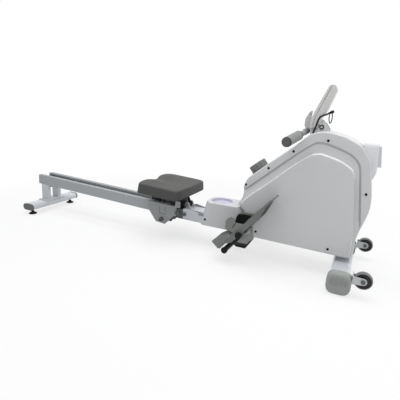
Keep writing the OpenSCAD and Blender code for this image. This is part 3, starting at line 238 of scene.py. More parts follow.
PADS = finish("pad_rubber", (30, 30, 31), 0.7, mottle=0.08, zone=("X", "ABOVE", 0.7, (214, 213, 218)),
              **RUBBERY)
BOOT = finish("boot_rubber", (150, 153, 150), 0.72, mottle=0.05, edge=0, **RUBBERY)
GREY = finish("grey_plastic", (176, 178, 176), 0.55, mottle=0.05, grain=1100, bump=0.2, wear_and_edge_highlight=0.2,
              zone=("Z", "BELOW", 0.046, (14, 14, 15)))
GRIP_ENDS = finish("grip_ends", (150, 152, 153), 0.4, mottle=0.04, zone=("Y", "BEYOND", 0.236, (84, 85, 86)))
STOPS = finish("rail_rubber", (30, 30, 31), 0.7, mottle=0.1, grain=1300, bump=0.3,
               zone=("X", "BELOW", -0.95, (150, 152, 153)))
CAP = finish("cap_plastic", (88, 91, 93), 0.5, mottle=0.04, bump=0.15)
PEDAL = finish("pedal_plastic", (106, 108, 106), 0.6, mottle=0.05, grain=900, bump=0.25, wear_and_edge_highlight=0.15)
HEEL = finish("heel_plastic", (117, 119, 117), 0.6, mottle=0.05, grain=900, bump=0.25, edge=0.003, wear_and_edge_highlight=0.15)
KNOB = finish("knob_plastic", (112, 113, 113), 0.5, mottle=0.03, grain=1100, bump=0.15, edge=0.002, wear_and_edge_highlight=0.15)
TREAD = finish("wheel_tread", (112, 114, 113), 0.6, mottle=0.05, grain=900, bump=0.2)
WHEEL = finish("wheel_side", (26, 27, 28), 0.5, mottle=0.1, bump=0.15)
ROLLER = finish("roller_plastic", (214, 214, 210), 0.35, mottle=0.03)
SKIN = finish("seat_skin", (66, 67, 65), 0.62, mottle=0.04, cloud=30, grain=650, bump=0.35, depth=0.0004,
              kind="leather", edge=0, spread=0.06, spec=0.4)
FOAM = finish("grip_foam", (128, 129, 129), 0.85, mottle=0.05, spec=0.25, sheen=0.15, **FOAMY)
PADDING = finish("strap_foam", (30, 32, 30), 0.9, mottle=0.15, spec=0.2, **FOAMY)
BAND = finish("strap_band", (116, 119, 115), 0.62, mottle=0.05, grain=500, bump=0.35, depth=0.0003, sheen=0.1,
              **WOVEN)
WEB = finish("strap_web", (28, 28, 30), 0.7, mottle=0.1, grain=420, bump=0.6, depth=0.0004, sheen=0.2, **WOVEN)
JACKET = finish("cable_jacket", (7, 7, 8), 0.6, mottle=0.08, bump=0.1, edge=0)
TUBE = finish("tube_paint", (20, 21, 22), 0.6, mottle=0.08, grain=500, bump=0.08, wear_and_edge_highlight=0.2, spec=0.3)
IRON = finish("flywheel_iron", (80, 82, 84), 0.4, metal=0.7, mottle=0.08)

NODE_LOOKS = {
    PAINT: "front_stabilizer main_beam rear_posts rear_stabilizer",
    FORK: "hinge_fork",
    BRACKET: "stabilizer_bracket caster_brackets magnet_bracket",
    ROLL_FRAME: "frame_plates",
    ZINC: "shaft_bearings",
    GRIP_ENDS: "handle_bar",
    BOLT: "hinge_bolt frame_bolts lock_pin",
    COVER: "beam_cover",
    SHELL: "right_housing left_housing",
    NOSE: "nose_cover",
    RUBBER: "right_level_foot left_level_foot",
    STOPS: "rail_stops",
    PADS: "rubber_pads",
    ARM: "console_arm_front console_arm_rear",
    HOOK: "handle_hook",
    GREY: "centre_foot",
    INK: "pedal_tube_caps housing_screws",
    BLACK: "cable_plug drive_pulley",
    JACKET: "console_cable",
    WEB: "inner_strap pull_strap drive_belt",
    RAIL: "right_rail left_rail rail_end_caps",
    PLATE: "lock_plates",
    DARK: "hinge_bracket seat_pan seat_carriage",
    SKIN: "seat_cushion",
    ROLLER: "front_rollers rear_rollers guide_roller",
    FOAM: "handle_grips",
    CAP: "rear_caps strap_drum",
    IRON: "flywheel",
    TUBE: "pedal_tubes",
    KNOB: "tension_knob",
    PEDAL: "right_footplate left_footplate",
    HEEL: "right_heel_cup left_heel_cup",
    BAND: "right_foot_strap left_foot_strap",
    WHEEL: "right_caster_wheel left_caster_wheel",
    BOOT: "front_boots",
}
for look, names in NODE_LOOKS.items():
    for name in names.split():
        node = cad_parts[name]
        node.data.materials.clear()
        node.data.materials.append(look)


# ---------------------------------------------------------------- mesh helpers
def piece(name, points, faces, look, body=FRONT, replaces=(), slot=None, angle=38):
    """A visible piece with its look, the body it rides on and the nodes it replaces; slot is not used."""
    me = bpy.data.meshes.new(name)
    me.from_pydata([part(*p) for p in points], [], faces)
    bm = bmesh.new()
    bm.from_mesh(me)
    bmesh.ops.remove_doubles(bm, verts=bm.verts, dist=1e-6)
    bmesh.ops.recalc_face_normals(bm, faces=bm.faces)
    bm.to_mesh(me)
    bm.free()
    me.polygons.foreach_set("use_smooth", [True] * len(me.polygons))
    me.set_sharp_from_angle(angle=math.radians(angle))
    ob = bpy.data.objects.new(name, me)
    bpy.context.scene.collection.objects.link(ob)
    me.materials.append(look)
    if body:
        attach(ob, body)
    if replaces:
        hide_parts(*replaces)
    return ob


def loft(rings, first=True, last=True, closed=True):
    """Skins rings of equal count, with a cap on the first and last ring."""
    n = len(rings[0])
    points = [p for ring in rings for p in ring]
    faces = []
    for i in range(len(rings) - 1):
        for k in range(n if closed else n - 1):
            a, b = i * n + k, i * n + (k + 1) % n
            faces.append((a, b, b + n, a + n))
    if first:
        faces.append(tuple(range(n - 1, -1, -1)))
    if last:
        faces.append(tuple((len(rings) - 1) * n + k for k in range(n)))
    return points, faces


def merge(*meshes):
    """Several meshes as one."""
    points, faces = [], []
    for p, f in meshes:
        at = len(points)
        points += p
        faces += [tuple(i + at for i in face) for face in f]
    return points, faces


def mirrored(mesh):
    """The mesh on the other side of the middle plane."""
    return [(x, -y, z) for x, y, z in mesh[0]], [tuple(reversed(f)) for f in mesh[1]]


def smooth(pts, times, closed=True):
    """Cuts the corners of an outline, so that it tends to a curve."""
    for _ in range(times):
        out = [] if closed else [pts[0]]
        for i in range(len(pts) if closed else len(pts) - 1):
            a, b = pts[i], pts[(i + 1) % len(pts)]
            out.append(tuple(0.75 * p + 0.25 * q for p, q in zip(a, b)))
            out.append(tuple(0.25 * p + 0.75 * q for p, q in zip(a, b)))
        if not closed:
            out.append(pts[-1])
        pts = out
    return pts


def inset(poly, d):
    """The outline moved inwards by d."""
    n = len(poly)
    area = sum(poly[i][0] * poly[(i + 1) % n][1] - poly[(i + 1) % n][0] * poly[i][1] for i in range(n))
    side = 1 if area > 0 else -1
    out = []
    for i in range(n):
        p = Vector(poly[i][:2])
        a = (p - Vector(poly[i - 1][:2])).normalized()
        b = (Vector(poly[(i + 1) % n][:2]) - p).normalized()
        na, nb = Vector((-a.y, a.x)) * side, Vector((-b.y, b.x)) * side
        m = (na + nb).normalized()
        q = p + m * d / max(0.5, m.dot(na))
        out.append((q.x, q.y))
    return out


def pillow(outline, y0, y1, r, steps=4):
    """An XZ outline from y0 to y1 with its edges rounded by r."""
    rings = []
    for i in range(steps + 1):
        t = math.pi / 2 * i / steps
        ring = inset(outline, r * (1 - math.sin(t)))
        rings.append([(x, y0 + r * (1 - math.cos(t)), z) for x, z in ring])
    for i in range(steps + 1):
        t = math.pi / 2 * (1 - i / steps)
        ring = inset(outline, r * (1 - math.sin(t)))
        rings.append([(x, y1 - r * (1 - math.cos(t)), z) for x, z in ring])
    return loft(rings)


def turned(k, sides):
    """Cosine and sine of step k of a full turn."""
    return math.cos(2 * math.pi * k / sides), math.sin(2 * math.pi * k / sides)


def lathe(profile, place, sides=48, capped=True):
    """Turns (radius, height) pairs round an axis; place puts (a, b, height) into the machine."""
    rings = [[place(r * c, r * s, h) for c, s in (turned(k, sides) for k in range(sides))] for r, h in profile]
    return loft(rings, capped, capped)


def curve_points(points, per_step=4):
    """A smooth curve through points."""
    out = []
    n = len(points) - 1
    for i in range(n):
        a, b = Vector(points[max(i - 1, 0)]), Vector(points[i])
        c, d = Vector(points[i + 1]), Vector(points[min(i + 2, n)])
        for k in range(per_step):
            f = k / per_step
            out.append(0.5 * (2 * b + (c - a) * f + (2 * a - 5 * b + 4 * c - d) * f * f
                              + (3 * b - a - 3 * c + d) * f ** 3))
    out.append(Vector(points[-1]))
    return out


def tube(points, r, sides=12, ends=0.0):
    """A round tube along points; ends rounds its last step."""
    rings = []
    n = len(points)
    u = None
    for i, p in enumerate(points):
        t = (Vector(points[min(i + 1, n - 1)]) - Vector(points[max(i - 1, 0)])).normalized()
        u = Vector((0.1, 0.97, 0.2)) if u is None else u
        u = (u - t * u.dot(t)).normalized()
        v = t.cross(u)
        size = r * (ends if ends and i in (0, n - 1) else 1)
        rings.append([tuple(Vector(p) + size * (u * c + v * s))
                      for c, s in (turned(k, sides) for k in range(sides))])
    return loft(rings)


def cut(ob, *cutters):
    """Takes solids away from a piece."""
    for points, faces in cutters:
        me = bpy.data.meshes.new("cutter")
        me.from_pydata([part(*p) for p in points], [], faces)
        tool = bpy.data.objects.new("cutter", me)
        bpy.context.scene.collection.objects.link(tool)
        mod = ob.modifiers.new("cut", "BOOLEAN")
        mod.operation = "DIFFERENCE"
        mod.solver = "EXACT"
        mod.object = tool
        bpy.context.view_layer.update()
        result = bpy.data.meshes.new_from_object(ob.evaluated_get(bpy.context.evaluated_depsgraph_get()))
        ob.modifiers.remove(mod)
        ob.data = result
        bpy.data.objects.remove(tool)
    ob.data.polygons.foreach_set("use_smooth", [True] * len(ob.data.polygons))
    ob.data.set_sharp_from_angle(angle=math.radians(38))


def block(x0, y0, z0, x1, y1, z1, tilt=0.0, about=(0, 0)):
    """A box, tilted nose down by degrees about an XZ point, which its corners are given from."""
    c, s = math.cos(math.radians(tilt)), math.sin(math.radians(tilt))
    points = [(about[0] + x * c + z * s, y, about[1] - x * s + z * c)
              for x, y, z in ((x0, y0, z0), (x1, y0, z0), (x1, y1, z0), (x0, y1, z0),
                              (x0, y0, z1), (x1, y0, z1), (x1, y1, z1), (x0, y1, z1))]
    return points, [(3, 2, 1, 0), (4, 5, 6, 7), (0, 1, 5, 4), (1, 2, 6, 5), (2, 3, 7, 6), (3, 0, 4, 7)]


def prism(profile, y0, y1):
    """Outline in the side view, counterclockwise as seen from -Y, drawn out between two Y values."""
    n = len(profile)
    points = [(x, y, z) for y in (y0, y1) for x, z in profile]
    faces = [tuple(range(n)), tuple(range(2 * n - 1, n - 1, -1))]
    faces += [(k, n + k, n + (k + 1) % n, (k + 1) % n) for k in range(n)]
    return points, faces


def sloped(u, y, w, origin, slope):
    """A place u along and w square to a line that falls forwards from an XZ point."""
    return (origin[0] + u * math.cos(slope) + w * math.sin(slope), y,
            origin[1] - u * math.sin(slope) + w * math.cos(slope))


def superellipse(k, sides, a, b, power):
    """Point k of sides on a rounded square of half sizes a and b."""
    c, s = turned(k, sides)
    return a * math.copysign(abs(c) ** power, c), b * math.copysign(abs(s) ** power, s)


# ---------------------------------------------------------------- cords
CABLE_Y = -33.3
CABLE_R, LEAD_R = 3.9, 2.1
cable_path = curve_points([(-215, CABLE_Y, 604), (-214, CABLE_Y, 620), (-212, CABLE_Y, 636),
                           (-208, CABLE_Y, 650), (-204, CABLE_Y, 664), (-201, CABLE_Y, 678),
                           (-197, CABLE_Y, 692), (-191, CABLE_Y, 703), (-181, CABLE_Y, 708.6),
                           (-170.5, -31.6, 713.6), (-160, -28, 719)], 3)
loop_path = curve_points([(-155, -26, 715.8), (-155.5, -26, 706), (-155, -26, 697), (-153, -26, 687),
                          (-150, -26, 680), (-146, -25, 681), (-144, -24, 689), (-143, -24, 698),
                          (-143, -24, 707), (-145, -24, 721.1)], 3)


def cords():
    """The console cable with its plug, and the thin lead that hangs from it."""
    cable = piece("cable_lead", *tube(cable_path, CABLE_R, 14), JACKET, replaces=("console_cable",),
                  slot="cable_jacket")
    loop = piece("thin_lead", *tube(loop_path, LEAD_R, 10), JACKET, slot="cable_jacket")
    rings = []
    for s, w, h in ((0.5, 4.2, 4.2), (1.1, 4.8, 4.6), (7, 5, 4.8), (7.6, 4.4, 4.2), (9, 4.4, 4.2),
                    (9.6, 6.4, 6), (22, 6.4, 6), (23.4, 5.6, 5.2), (24, 4, 3.8)):
        section = [superellipse(k, 20, w, h, 0.5) for k in range(20)]
        rings.append([sloped(s, PLUG_AT[1] + y, z, (PLUG_AT[0], PLUG_AT[2]), -PLUG_LEAN) for y, z in section])
    plug = piece("lead_plug", *loft(rings), INK, replaces=("cable_plug",), slot="dark_plastic")


cords()


# ---------------------------------------------------------------- housing
housing_side = [(-430, 116), (-440, 172), (-495, 246), (-519, 264), (-498, 300), (-492, 335),
                (-496, 348), (-489, 382), (-469, 413.6), (-260, 586), (-222, 627), (-175, 644),
                (-133, 644), (-67, 628), (-6, 598), (36, 542), (57, 440), (66, 380), (66, 327),
                (46, 254), (31, 194), (27.7, 124), (27, 106), (9, 106.4), (-408, 115.4)]
panel_side = [(-422, 117.2), (-431, 176), (-482, 250), (-503, 268), (-483, 302), (-362, 405),
              (-275, 488), (-197, 546), (-161, 553), (-81, 532), (-48, 515), (-22, 496), (-11.5, 466),
              (-9, 448), (6, 340), (20, 190), (18, 126), (17, 107.6), (-2, 108), (-400, 116.6)]
groove_line = [(-493, 341), (-476, 353), (-384, 434), (-296, 512), (-198, 592), (-172, 599),
               (-140, 595), (-87, 579), (-35, 558), (-5, 529), (6, 498), (32, 312), (41, 250),
               (44, 236)]
CORE = (-215, 300)              # every outline is seen whole from here
RIM, PANEL, STEP = 80, 95, 4    # half widths at the outer band and the panel, and the band's step
BEAM_SLOT = (-900, -40.5, -20, 23, 40.5, 50.5)


def reach(poly, angle, closed=True):
    """Distance from the core to an outline along a direction."""
    c, s = math.cos(angle), math.sin(angle)
    best = None
    n = len(poly)
    for i in range(n if closed else n - 1):
        ax, az = poly[i][0] - CORE[0], poly[i][1] - CORE[1]
        dx = poly[(i + 1) % n][0] - CORE[0] - ax
        dz = poly[(i + 1) % n][1] - CORE[1] - az
        den = c * dz - s * dx
        if abs(den) < 1e-9:
            continue
        t = (s * ax - c * az) / den
        if -1e-9 <= t <= 1 + 1e-9:
            r = (ax + t * dx) * c + (az + t * dz) * s
            if r > 0 and (best is None or r > best):
                best = r
    return best


def crisp(poly, near, turn=24):
    """Doubles each sharp corner, so that smoothing leaves it tight."""
    out = []
    n = len(poly)
    for i in range(n):
        p, a, b = Vector(poly[i]), Vector(poly[i - 1]), Vector(poly[(i + 1) % n])
        if (p - a).angle(b - p) > math.radians(turn):
            out.append(tuple(p + (a - p).normalized() * min(near, (a - p).length / 3)))
            out.append(tuple(p + (b - p).normalized() * min(near, (b - p).length / 3)))
        else:
            out.append(tuple(p))
    return out


def housing(side, name):
    """One moulded half: rounded outer band, step down to the groove, raised panel."""
    outline = smooth(crisp(housing_side, 5), 2)
    panel = smooth(crisp(panel_side, 4), 2)
    groove = smooth(groove_line, 2, closed=False)
    top = [(CORE[0] + (x - CORE[0]) * 0.99, 110 + (z - 110) * 0.993) for x, z in panel]
    fillet = 6
    panel_edge_r = 1.6
    rim = RIM - STEP
    closest, widest = 0.003, 0.06
    steps = [0, 18, 36, 54, 72, 90]
    insets = [inset(outline, fillet * (1 - math.cos(math.radians(t)))) for t in steps]
    angles = sorted(math.atan2(z - CORE[1], x - CORE[0]) for x, z in outline + panel + groove)
    kept = []
    for a in angles:
        if kept and a - kept[-1] < closest:
            continue
        while kept and a - kept[-1] > widest:
            kept.append(kept[-1] + (a - kept[-1]) / math.ceil((a - kept[-1]) / widest))
        kept.append(a)
    columns = []
    for a in kept:
        out = reach(outline, a)
        g = reach(groove, a, closed=False) or out
        g = min(g, out)
        low = reach(panel, a)
        high = min(reach(top, a), low - 0.3)
        width = min(1, max(0, (out - g - 4) / 12))
        level = RIM - STEP * (1 - width * width * (3 - 2 * width))
        col = [(out - 0.8, 0), (out, 0.8), (out, 40)]
        for t, ring in zip(steps, insets):
            col.append((reach(ring, a) or out, level - fillet + fillet * math.sin(math.radians(t))))
        for d, share in ((3, 1), (1.4, 0.94), (-0.8, 0.66), (-3.4, 0.27), (-5.2, 0.06), (-7, 0)):
            col.append((g + d, rim + share * (level - rim)))
        col += [(low + 1.2, rim), (low + 0.3, rim + 0.4), (low, rim + 1.5)]
        floor = low + 0.01 * len(col)
        fixed = []
        for r, y in col:
            r = max(r, floor - 0.01 * len(fixed))
            if fixed:
                r = min(r, fixed[-1][0] - (0 if len(fixed) < 4 else 0.01)) if len(fixed) > 1 else r
            fixed.append((r, y))
        fixed += [(high, PANEL - panel_edge_r), (high - 0.25, PANEL - 0.8), (high - 0.8, PANEL - 0.25),
                  (high - panel_edge_r, PANEL), (high - 14, PANEL), (high * 0.5, PANEL)]
        columns.append([(CORE[0] + r * math.cos(a), side * y, CORE[1] + r * math.sin(a)) for r, y in fixed])
    rings = [[col[i] for col in columns] for i in range(len(columns[0]))]
    points, faces = loft(rings, first=False, last=False)
    n = len(columns)
    for ring_at, y in ((0, 0), (len(rings) - 1, side * PANEL)):
        points.append((CORE[0], y, CORE[1]))
        hub = len(points) - 1
        faces += [(ring_at * n + k, ring_at * n + (k + 1) % n, hub) for k in range(n)]
    ob = piece("shell_" + name, points, faces, SHELL, replaces=(name + "_housing",), slot="shell_plastic",
               angle=32)
    cut(ob, block(*BEAM_SLOT, BEAM_SLOPE, BEAM_AT), block(-30, -52, 90, 18, 52, 130))
    ob.data.materials.append(PANEL_EDGE_HIGHLIGHT)
    ob.data.materials.append(STEP_WALL_SHADE)
    core = part(CORE[0], 0, CORE[1])
    for poly in ob.data.polygons:
        out, height, n = poly.center - core, abs(poly.center.y) * 1000, poly.normal
        # painted shade on the step wall that falls into the groove
        if rim + 0.1 < height < RIM - 0.1 and n.x * out.x + n.z * out.z < -0.02:
            poly.material_index = 2
        # painted highlight on the panel's upward-facing wall
        if RIM + 2 < height < PANEL - 0.2 and n.z > 0.25:
            poly.material_index = 1


for side, name in SIDES:
    housing(side, name)

nose_side = smooth([(-4, 617), (20, 621), (50, 620), (59, 612), (59, 584), (66, 515), (65, 486),
                    (54, 458), (44, 446), (34, 446), (8, 540)], 3)


def nose():
    """Nose cover: rounded side edges, and a roof that falls away at both sides."""
    half_w, edge_r, roof_r, top = 60, 3.5, 28, 620.5
    right_end = [(-half_w + edge_r * (1 - math.cos(t)), edge_r * (1 - math.sin(t)))
                 for t in (math.pi / 2 * i / 4 for i in range(5))]
    stops = (54, 51, 48, 45, 42, 38, 34, 30, 10)
    middle = [(-y, 0) for y in stops] + [(y, 0) for y in reversed(stops)]
    left_end = [(-y, d) for y, d in reversed(right_end)]
    rings = []
    for y, d in right_end + middle + left_end:
        over = max(0, abs(y) - (half_w - roof_r))
        roof = top - roof_r + math.sqrt(max(0, roof_r ** 2 - over * over))
        rings.append([(x, y, min(z, roof)) for x, z in inset(nose_side, d)])
    piece("nose_shell", *loft(rings), NOSE, replaces=("nose_cover",), slot="shell_plastic", angle=50)


nose()


# ---------------------------------------------------------------- console arm
rear_edge = [(-230, 651), (-233, 680), (-220, 724), (-172, 835)]
seam = [(-159, 838.5), (-206, 724), (-219, 682), (-217, 651)]
front_edge = [(-139, 815), (-169, 725), (-196, 684), (-196, 651)]


def console_arm():
    """Two half shells that meet at the seam, each with a foot that goes down into the housing."""
    arm_w, foot_w, gap = 30, 24, 0.7
    arm_line = smooth(seam, 2, closed=False)
    back = smooth(rear_edge, 2, closed=False) + [(-167, 839)] + arm_line
    back_foot = [(-222, 606), (-230, 646), (-231, 652), (-218, 652), (-208, 606)]
    face = [(-158, 839.6), (-152, 841), (-145, 836), (-139.5, 823)] + smooth(front_edge, 2, closed=False)
    face += [(x + gap, z) for x, z in reversed(arm_line)]
    face_foot = [(-207.4, 606), (-217.3, 652), (-196.5, 652), (-196.5, 606)]
    for name, node, shell, foot, r in (("arm_back", "console_arm_rear", back, back_foot, 2.4),
                                       ("arm_face", "console_arm_front", face, face_foot, 4.2)):
        piece(name, *merge(pillow(shell, -arm_w, arm_w, r), pillow(foot, -foot_w, foot_w, 1)), ARM,
              replaces=(node,), slot="arm_plastic")


console_arm()


def roller_bolt():
    """Bolt of the guide roller on both sides: a light head in a dark ring."""
    def place(a, b, h):
        return ROLLER_AT[0] + a, h, ROLLER_AT[1] + b
    ring = lathe([(5.6, -33.8), (5.6, -34.9), (6.2, -35.3), (9, -35.3), (10, -34.6), (10, -33.8)], place, 32)
    dot = lathe([(0.2, -34.2), (4.6, -34.2), (5.4, -33.8), (0.2, -33.8)], place, 32)
    piece("roller_bolt_ring", *merge(ring, mirrored(ring)), INK, slot="bolt_steel")
    piece("roller_bolt_head", *merge(dot, mirrored(dot)), ROLL_FRAME, slot="bolt_steel")


roller_bolt()


# ---------------------------------------------------------------- beam cover
def beam_cover():
    """Tapered cover on the beam, with a ring and a cup recess in its top."""
    sides = 144
    top, half_w, edge_r = 246, 72, 3.5
    sill = top - edge_r

    def plan(x0, x1, w, r, c, s):
        """Reach of a rounded box seen from the cup's middle along (c, s)."""
        lo, hi = 0.0, 400.0
        for _ in range(34):
            mid = (lo + hi) / 2
            x, y = CUP_X + mid * c, abs(mid * s)
            dx = max(x0 + r - x, x - (x1 - r), 0)
            dy = max(y - (w - r), 0)
            if dx * dx + dy * dy <= r * r and x0 <= x <= x1 and y <= w:
                lo = mid
            else:
                hi = mid
        return lo

    def ends(z):
        """Rear and front end of the cover at a height."""
        rear = -728 + 29 * (z - 119) / 127
        front = -431 - 10 * (z - 117) / 54 if z < 171 else -441 - 53 * (z - 171) / 75
        return rear, front

    def corner(z):
        """Corner radius in plan at a height."""
        return 40 + 6 * max(0, min(1, (z - 165) / 60))

    rows = [(z, 0) for z in (118, 140, 160, 171, 185, 200, 215, 230, sill)]
    for t in (22, 45, 67, 90):
        rows.append((sill + edge_r * math.sin(math.radians(t)), edge_r * (1 - math.cos(math.radians(t)))))
    around = [turned(k, sides) for k in range(sides)]
    rings = []
    for z, d in rows:
        x0, x1 = ends(z)
        far = [plan(x0 + d, x1 - d, half_w - d, corner(z) - d, c, s) for c, s in around]
        rings.append([(CUP_X + m * c, m * s, z) for m, (c, s) in zip(far, around)])
    ring_and_cup = ((66.4, 0), (65.9, 1), (65.2, 1.6), (64.2, 1.6), (63.5, 1), (63, 0), (56.5, 0), (55.4, 0.4),
                    (54.6, 1.2), (54.1, 3), (53, 10), (51.5, 12.8), (49, 14), (25, 14.2))
    rings += [[(CUP_X + r * c, r * s, top - deep) for c, s in around] for r, deep in ring_and_cup]
    ob = piece("cover_shell", *loft(rings), COVER, replaces=("beam_cover",), slot="shell_plastic", angle=40)
    cut(ob, block(*BEAM_SLOT, BEAM_SLOPE, BEAM_AT), block(-760, -60, 90, -703, 60, 196))
    ob.data.materials.append(CUP_RECESS_SHADE)
    cup_floor, cup_r, cup_middle = 231.7, 55.5, part(CUP_X, 0, 0)
    # painted shade: the recess's floor and walls get the darker colour
    for poly in ob.data.polygons:
        out = (poly.center - cup_middle) * 1000
        if cup_floor < out.z < top - 0.5 and math.hypot(out.x, out.y) < cup_r:
            poly.material_index = 1


beam_cover()


# ---------------------------------------------------------------- rubber boots
def boots():
    """Rubber boots on the ends of the front tube, with raised ribs over the rounded end."""
    middle_x, middle_z, half_l, half_h = -6, 47.8, 49, 47.6
    end_r, shoulder = 12, -242.4

    def section(y, d):
        """The boot's outline moved in by d, at one Y."""
        out = []
        for c, s in (turned(k, 80) for k in range(80)):
            x = (half_l - d) * math.copysign(abs(c) ** (2 / 3.6), c)
            z = (half_h - d) * math.copysign(abs(s) ** (2 / (3.4 if s > 0 else 3.0)), s)
            out.append((middle_x + x, y, middle_z + z))
        return out

    rings = [section(-214.2, 1), section(-214.2, 0.3), section(-216, 0), section(shoulder, 0)]
    for t in (math.radians(a) for a in (20, 40, 60, 78, 90)):
        rings.append(section(shoulder - end_r * math.sin(t), end_r * (1 - math.cos(t))))
    rings += [section(-254.8, 24), section(-255, 38)]
    body = loft(rings)
    ribs = []
    for i in range(8):
        x = middle_x + (i - 3.5) * 9
        lift = 0.005 * (x - middle_x) ** 2
        route = curve_points([(x, -254, 38 + abs(i - 3.5) * 2), (x, -255.4, 52), (x, -255.3, 68),
                              (x, -253.2, 82 - lift), (x, -248.6, 90.4 - lift), (x, -240, 93.6 - lift),
                              (x, -226, 93.6 - lift)], 4)
        ribs.append(tube(route, 2.6, 8, 0.3))
    near = merge(body, *ribs)
    both = merge(near, mirrored(near))
    piece("boot_pair", *both, BOOT, replaces=("front_boots",), slot="boot_rubber")


boots()


# ---------------------------------------------------------------- wheels and levelling feet
def casters():
    """Transport wheels: dark disc with a hub, light tread."""
    core_r = 31.2
    for side, name in SIDES:
        def place(a, b, h, side=side):
            return CASTER_AT[0] + a, side * CASTER_AT[1] + h, CASTER_AT[2] + b
        tread = [(31.5, -11.6), (34, -11.2), (35.3, -9.8), (36, -7), (36, 7), (35.3, 9.8), (34, 11.2),
                 (31.5, 11.6), (31, 10.6), (31, -10.6)]
        tread.append(tread[0])
        core = [(5.2, -9), (10, -9), (11, -8), (12.5, -6.6), (22, -6.4), (25.5, -7.2), (27, -10.4),
                (28.5, -11.4), (core_r, -11.2), (core_r, 11.2), (28.5, 11.4), (27, 10.4), (25.5, 7.2),
                (22, 6.4), (12.5, 6.6), (11, 8), (10, 9), (5.2, 9), (5.2, -9)]
        wheel = merge(*(lathe(profile, place, 56, capped=False) for profile in (core, tread)))
        ob = piece(name + "_wheel", *wheel, WHEEL, body=name + "_caster", replaces=(name + "_caster_wheel",),
                   slot="boot_rubber")
        ob.data.materials.append(TREAD)
        axle = part(*CASTER_AT)
        for poly in ob.data.polygons:
            out = (poly.center - axle) * 1000
            poly.material_index = 1 if math.hypot(out.x, out.z) > core_r else 0


def level_feet():
    """Rubber pads with their threaded stems under the rear tube."""
    for side, name in SIDES:
        profile = [(20, 0), (23, 0.6), (24, 2.2), (23.6, 4), (21, 6.6), (16, 9), (11, 10), (9, 10.4),
                   (9, 17.4), (8, 18), (5, 18), (5, 50)]
        mesh = lathe(profile, lambda a, b, h, side=side: (LEVEL_AT[0] + a, side * LEVEL_AT[1] + b, h), 40)
        piece(name + "_foot_pad", *mesh, RUBBER, body=name + "_level", replaces=(name + "_level_foot",),
              slot="black_rubber")


casters()
level_feet()


# ---------------------------------------------------------------- seat
def seat():
    """Moulded seat: crowned and dished top, notch at the rear, sides that flare to the lower edge."""
    middle_u, seat_w = -112, 51.3
    half_l, half_w = 128, 176
    n = 192

    def crown(x, y):
        """Height of the top over the flat: two humps at the rear, a channel and a lower front."""
        p, q = x / half_l, y / half_w
        return (10 * math.exp(-((p + 0.55) / 0.42) ** 2 - ((abs(q) - 0.52) / 0.3) ** 2)
                - 5 * math.exp(-(q / 0.28) ** 2) * (0.6 - 0.4 * p) - 3 * max(0, p) * p)

    def ring(share, z, follow):
        """The outline at a share of its size and a height, which follows the crown by a share."""
        out = []
        for c, s in (turned(k, n) for k in range(n)):
            far = (abs(c) ** 9 + abs(s) ** 9) ** (-1 / 9)
            x, y = half_l * c * far, half_w * s * far
            notch = 16 * math.exp(-(y / 46) ** 2) if x < 0 else 0
            x, y = share * (x + notch), share * y
            out.append(sloped(middle_u + x, y, seat_w + z + follow * crown(x, y), FOLD_AT, RAIL_SLOPE))
        return out

    rows = [(0.965, 0.3, 0), (0.983, 0.3, 0), (0.993, 0.9, 0), (0.999, 2.6, 0), (0.999, 8, 0.1),
            (0.996, 13, 0.2), (0.991, 20, 0.33), (0.987, 28, 0.5), (0.982, 36, 0.68), (0.977, 42, 0.82),
            (0.971, 46.5, 0.92), (0.964, 49.4, 0.97), (0.953, 51.4, 1), (0.939, 52.7, 1), (0.918, 53.4, 1),
            (0.88, 53.5, 1), (0.82, 53.5, 1), (0.74, 53.5, 1), (0.66, 53.5, 1), (0.55, 53.5, 1),
            (0.43, 53.5, 1), (0.3, 53.5, 1), (0.17, 53.5, 1), (0.06, 53.5, 1)]
    ob = piece("seat_pad", *loft([ring(*row) for row in rows]), SKIN, body="seat",
               replaces=("seat_cushion",), slot="seat_skin", angle=60)


seat()


# ---------------------------------------------------------------- knob
def knob_base():
    """Dark line where the knob's flange meets the housing."""
    def place(a, b, h):
        return sloped(a, b, h, KNOB_AT, -KNOB_TILT)

    piece("knob_base_line", *lathe([(43.2, 0.3), (44.8, 0.3), (44.8, 3.6), (43.2, 3.6)], place, 56), INK,
          slot="grey_plastic")


knob_base()


# ---------------------------------------------------------------- handle
def handle_place(a, b, h):
    """A point of the handle's own frame (h along the handle) at rest."""
    turn = Matrix.Rotation(HANDLE_TURN, 4, "Z") @ Matrix.Rotation(HANDLE_TILT, 4, "X")
    p = turn @ Vector((a, h, b))
    return HANDLE_AT[0] + p.x, p.y, HANDLE_AT[1] + p.z


def handle():
    """Foam grips and the black rims at their ends."""
    for side, name in SIDES:
        profile = [(12.6, 104.2), (19.4, 104.2), (20.5, 105), (21, 107), (21, 150), (20.7, 170), (20.8, 200),
                   (21, 236), (21, 241.5), (20.6, 243.4), (19.4, 244), (12.6, 244)]
        mesh = lathe([(r, side * h) for r, h in profile], handle_place, 40)
        grip = piece(name + "_grip", *mesh, FOAM, body="handle", slot="grey_plastic",
                     replaces=("handle_grips",) if side < 0 else ())
        rims = [lathe([(r, side * h) for r, h in ((12.7, a), (q, a), (q, b), (12.7, b))], handle_place, 40)
                for a, b, q in ((101, 104, 21.2), (243.4, 244.9, 20.6))]
        piece(name + "_grip_rims", *merge(*rims), INK, body="handle", slot="grey_plastic")


handle()


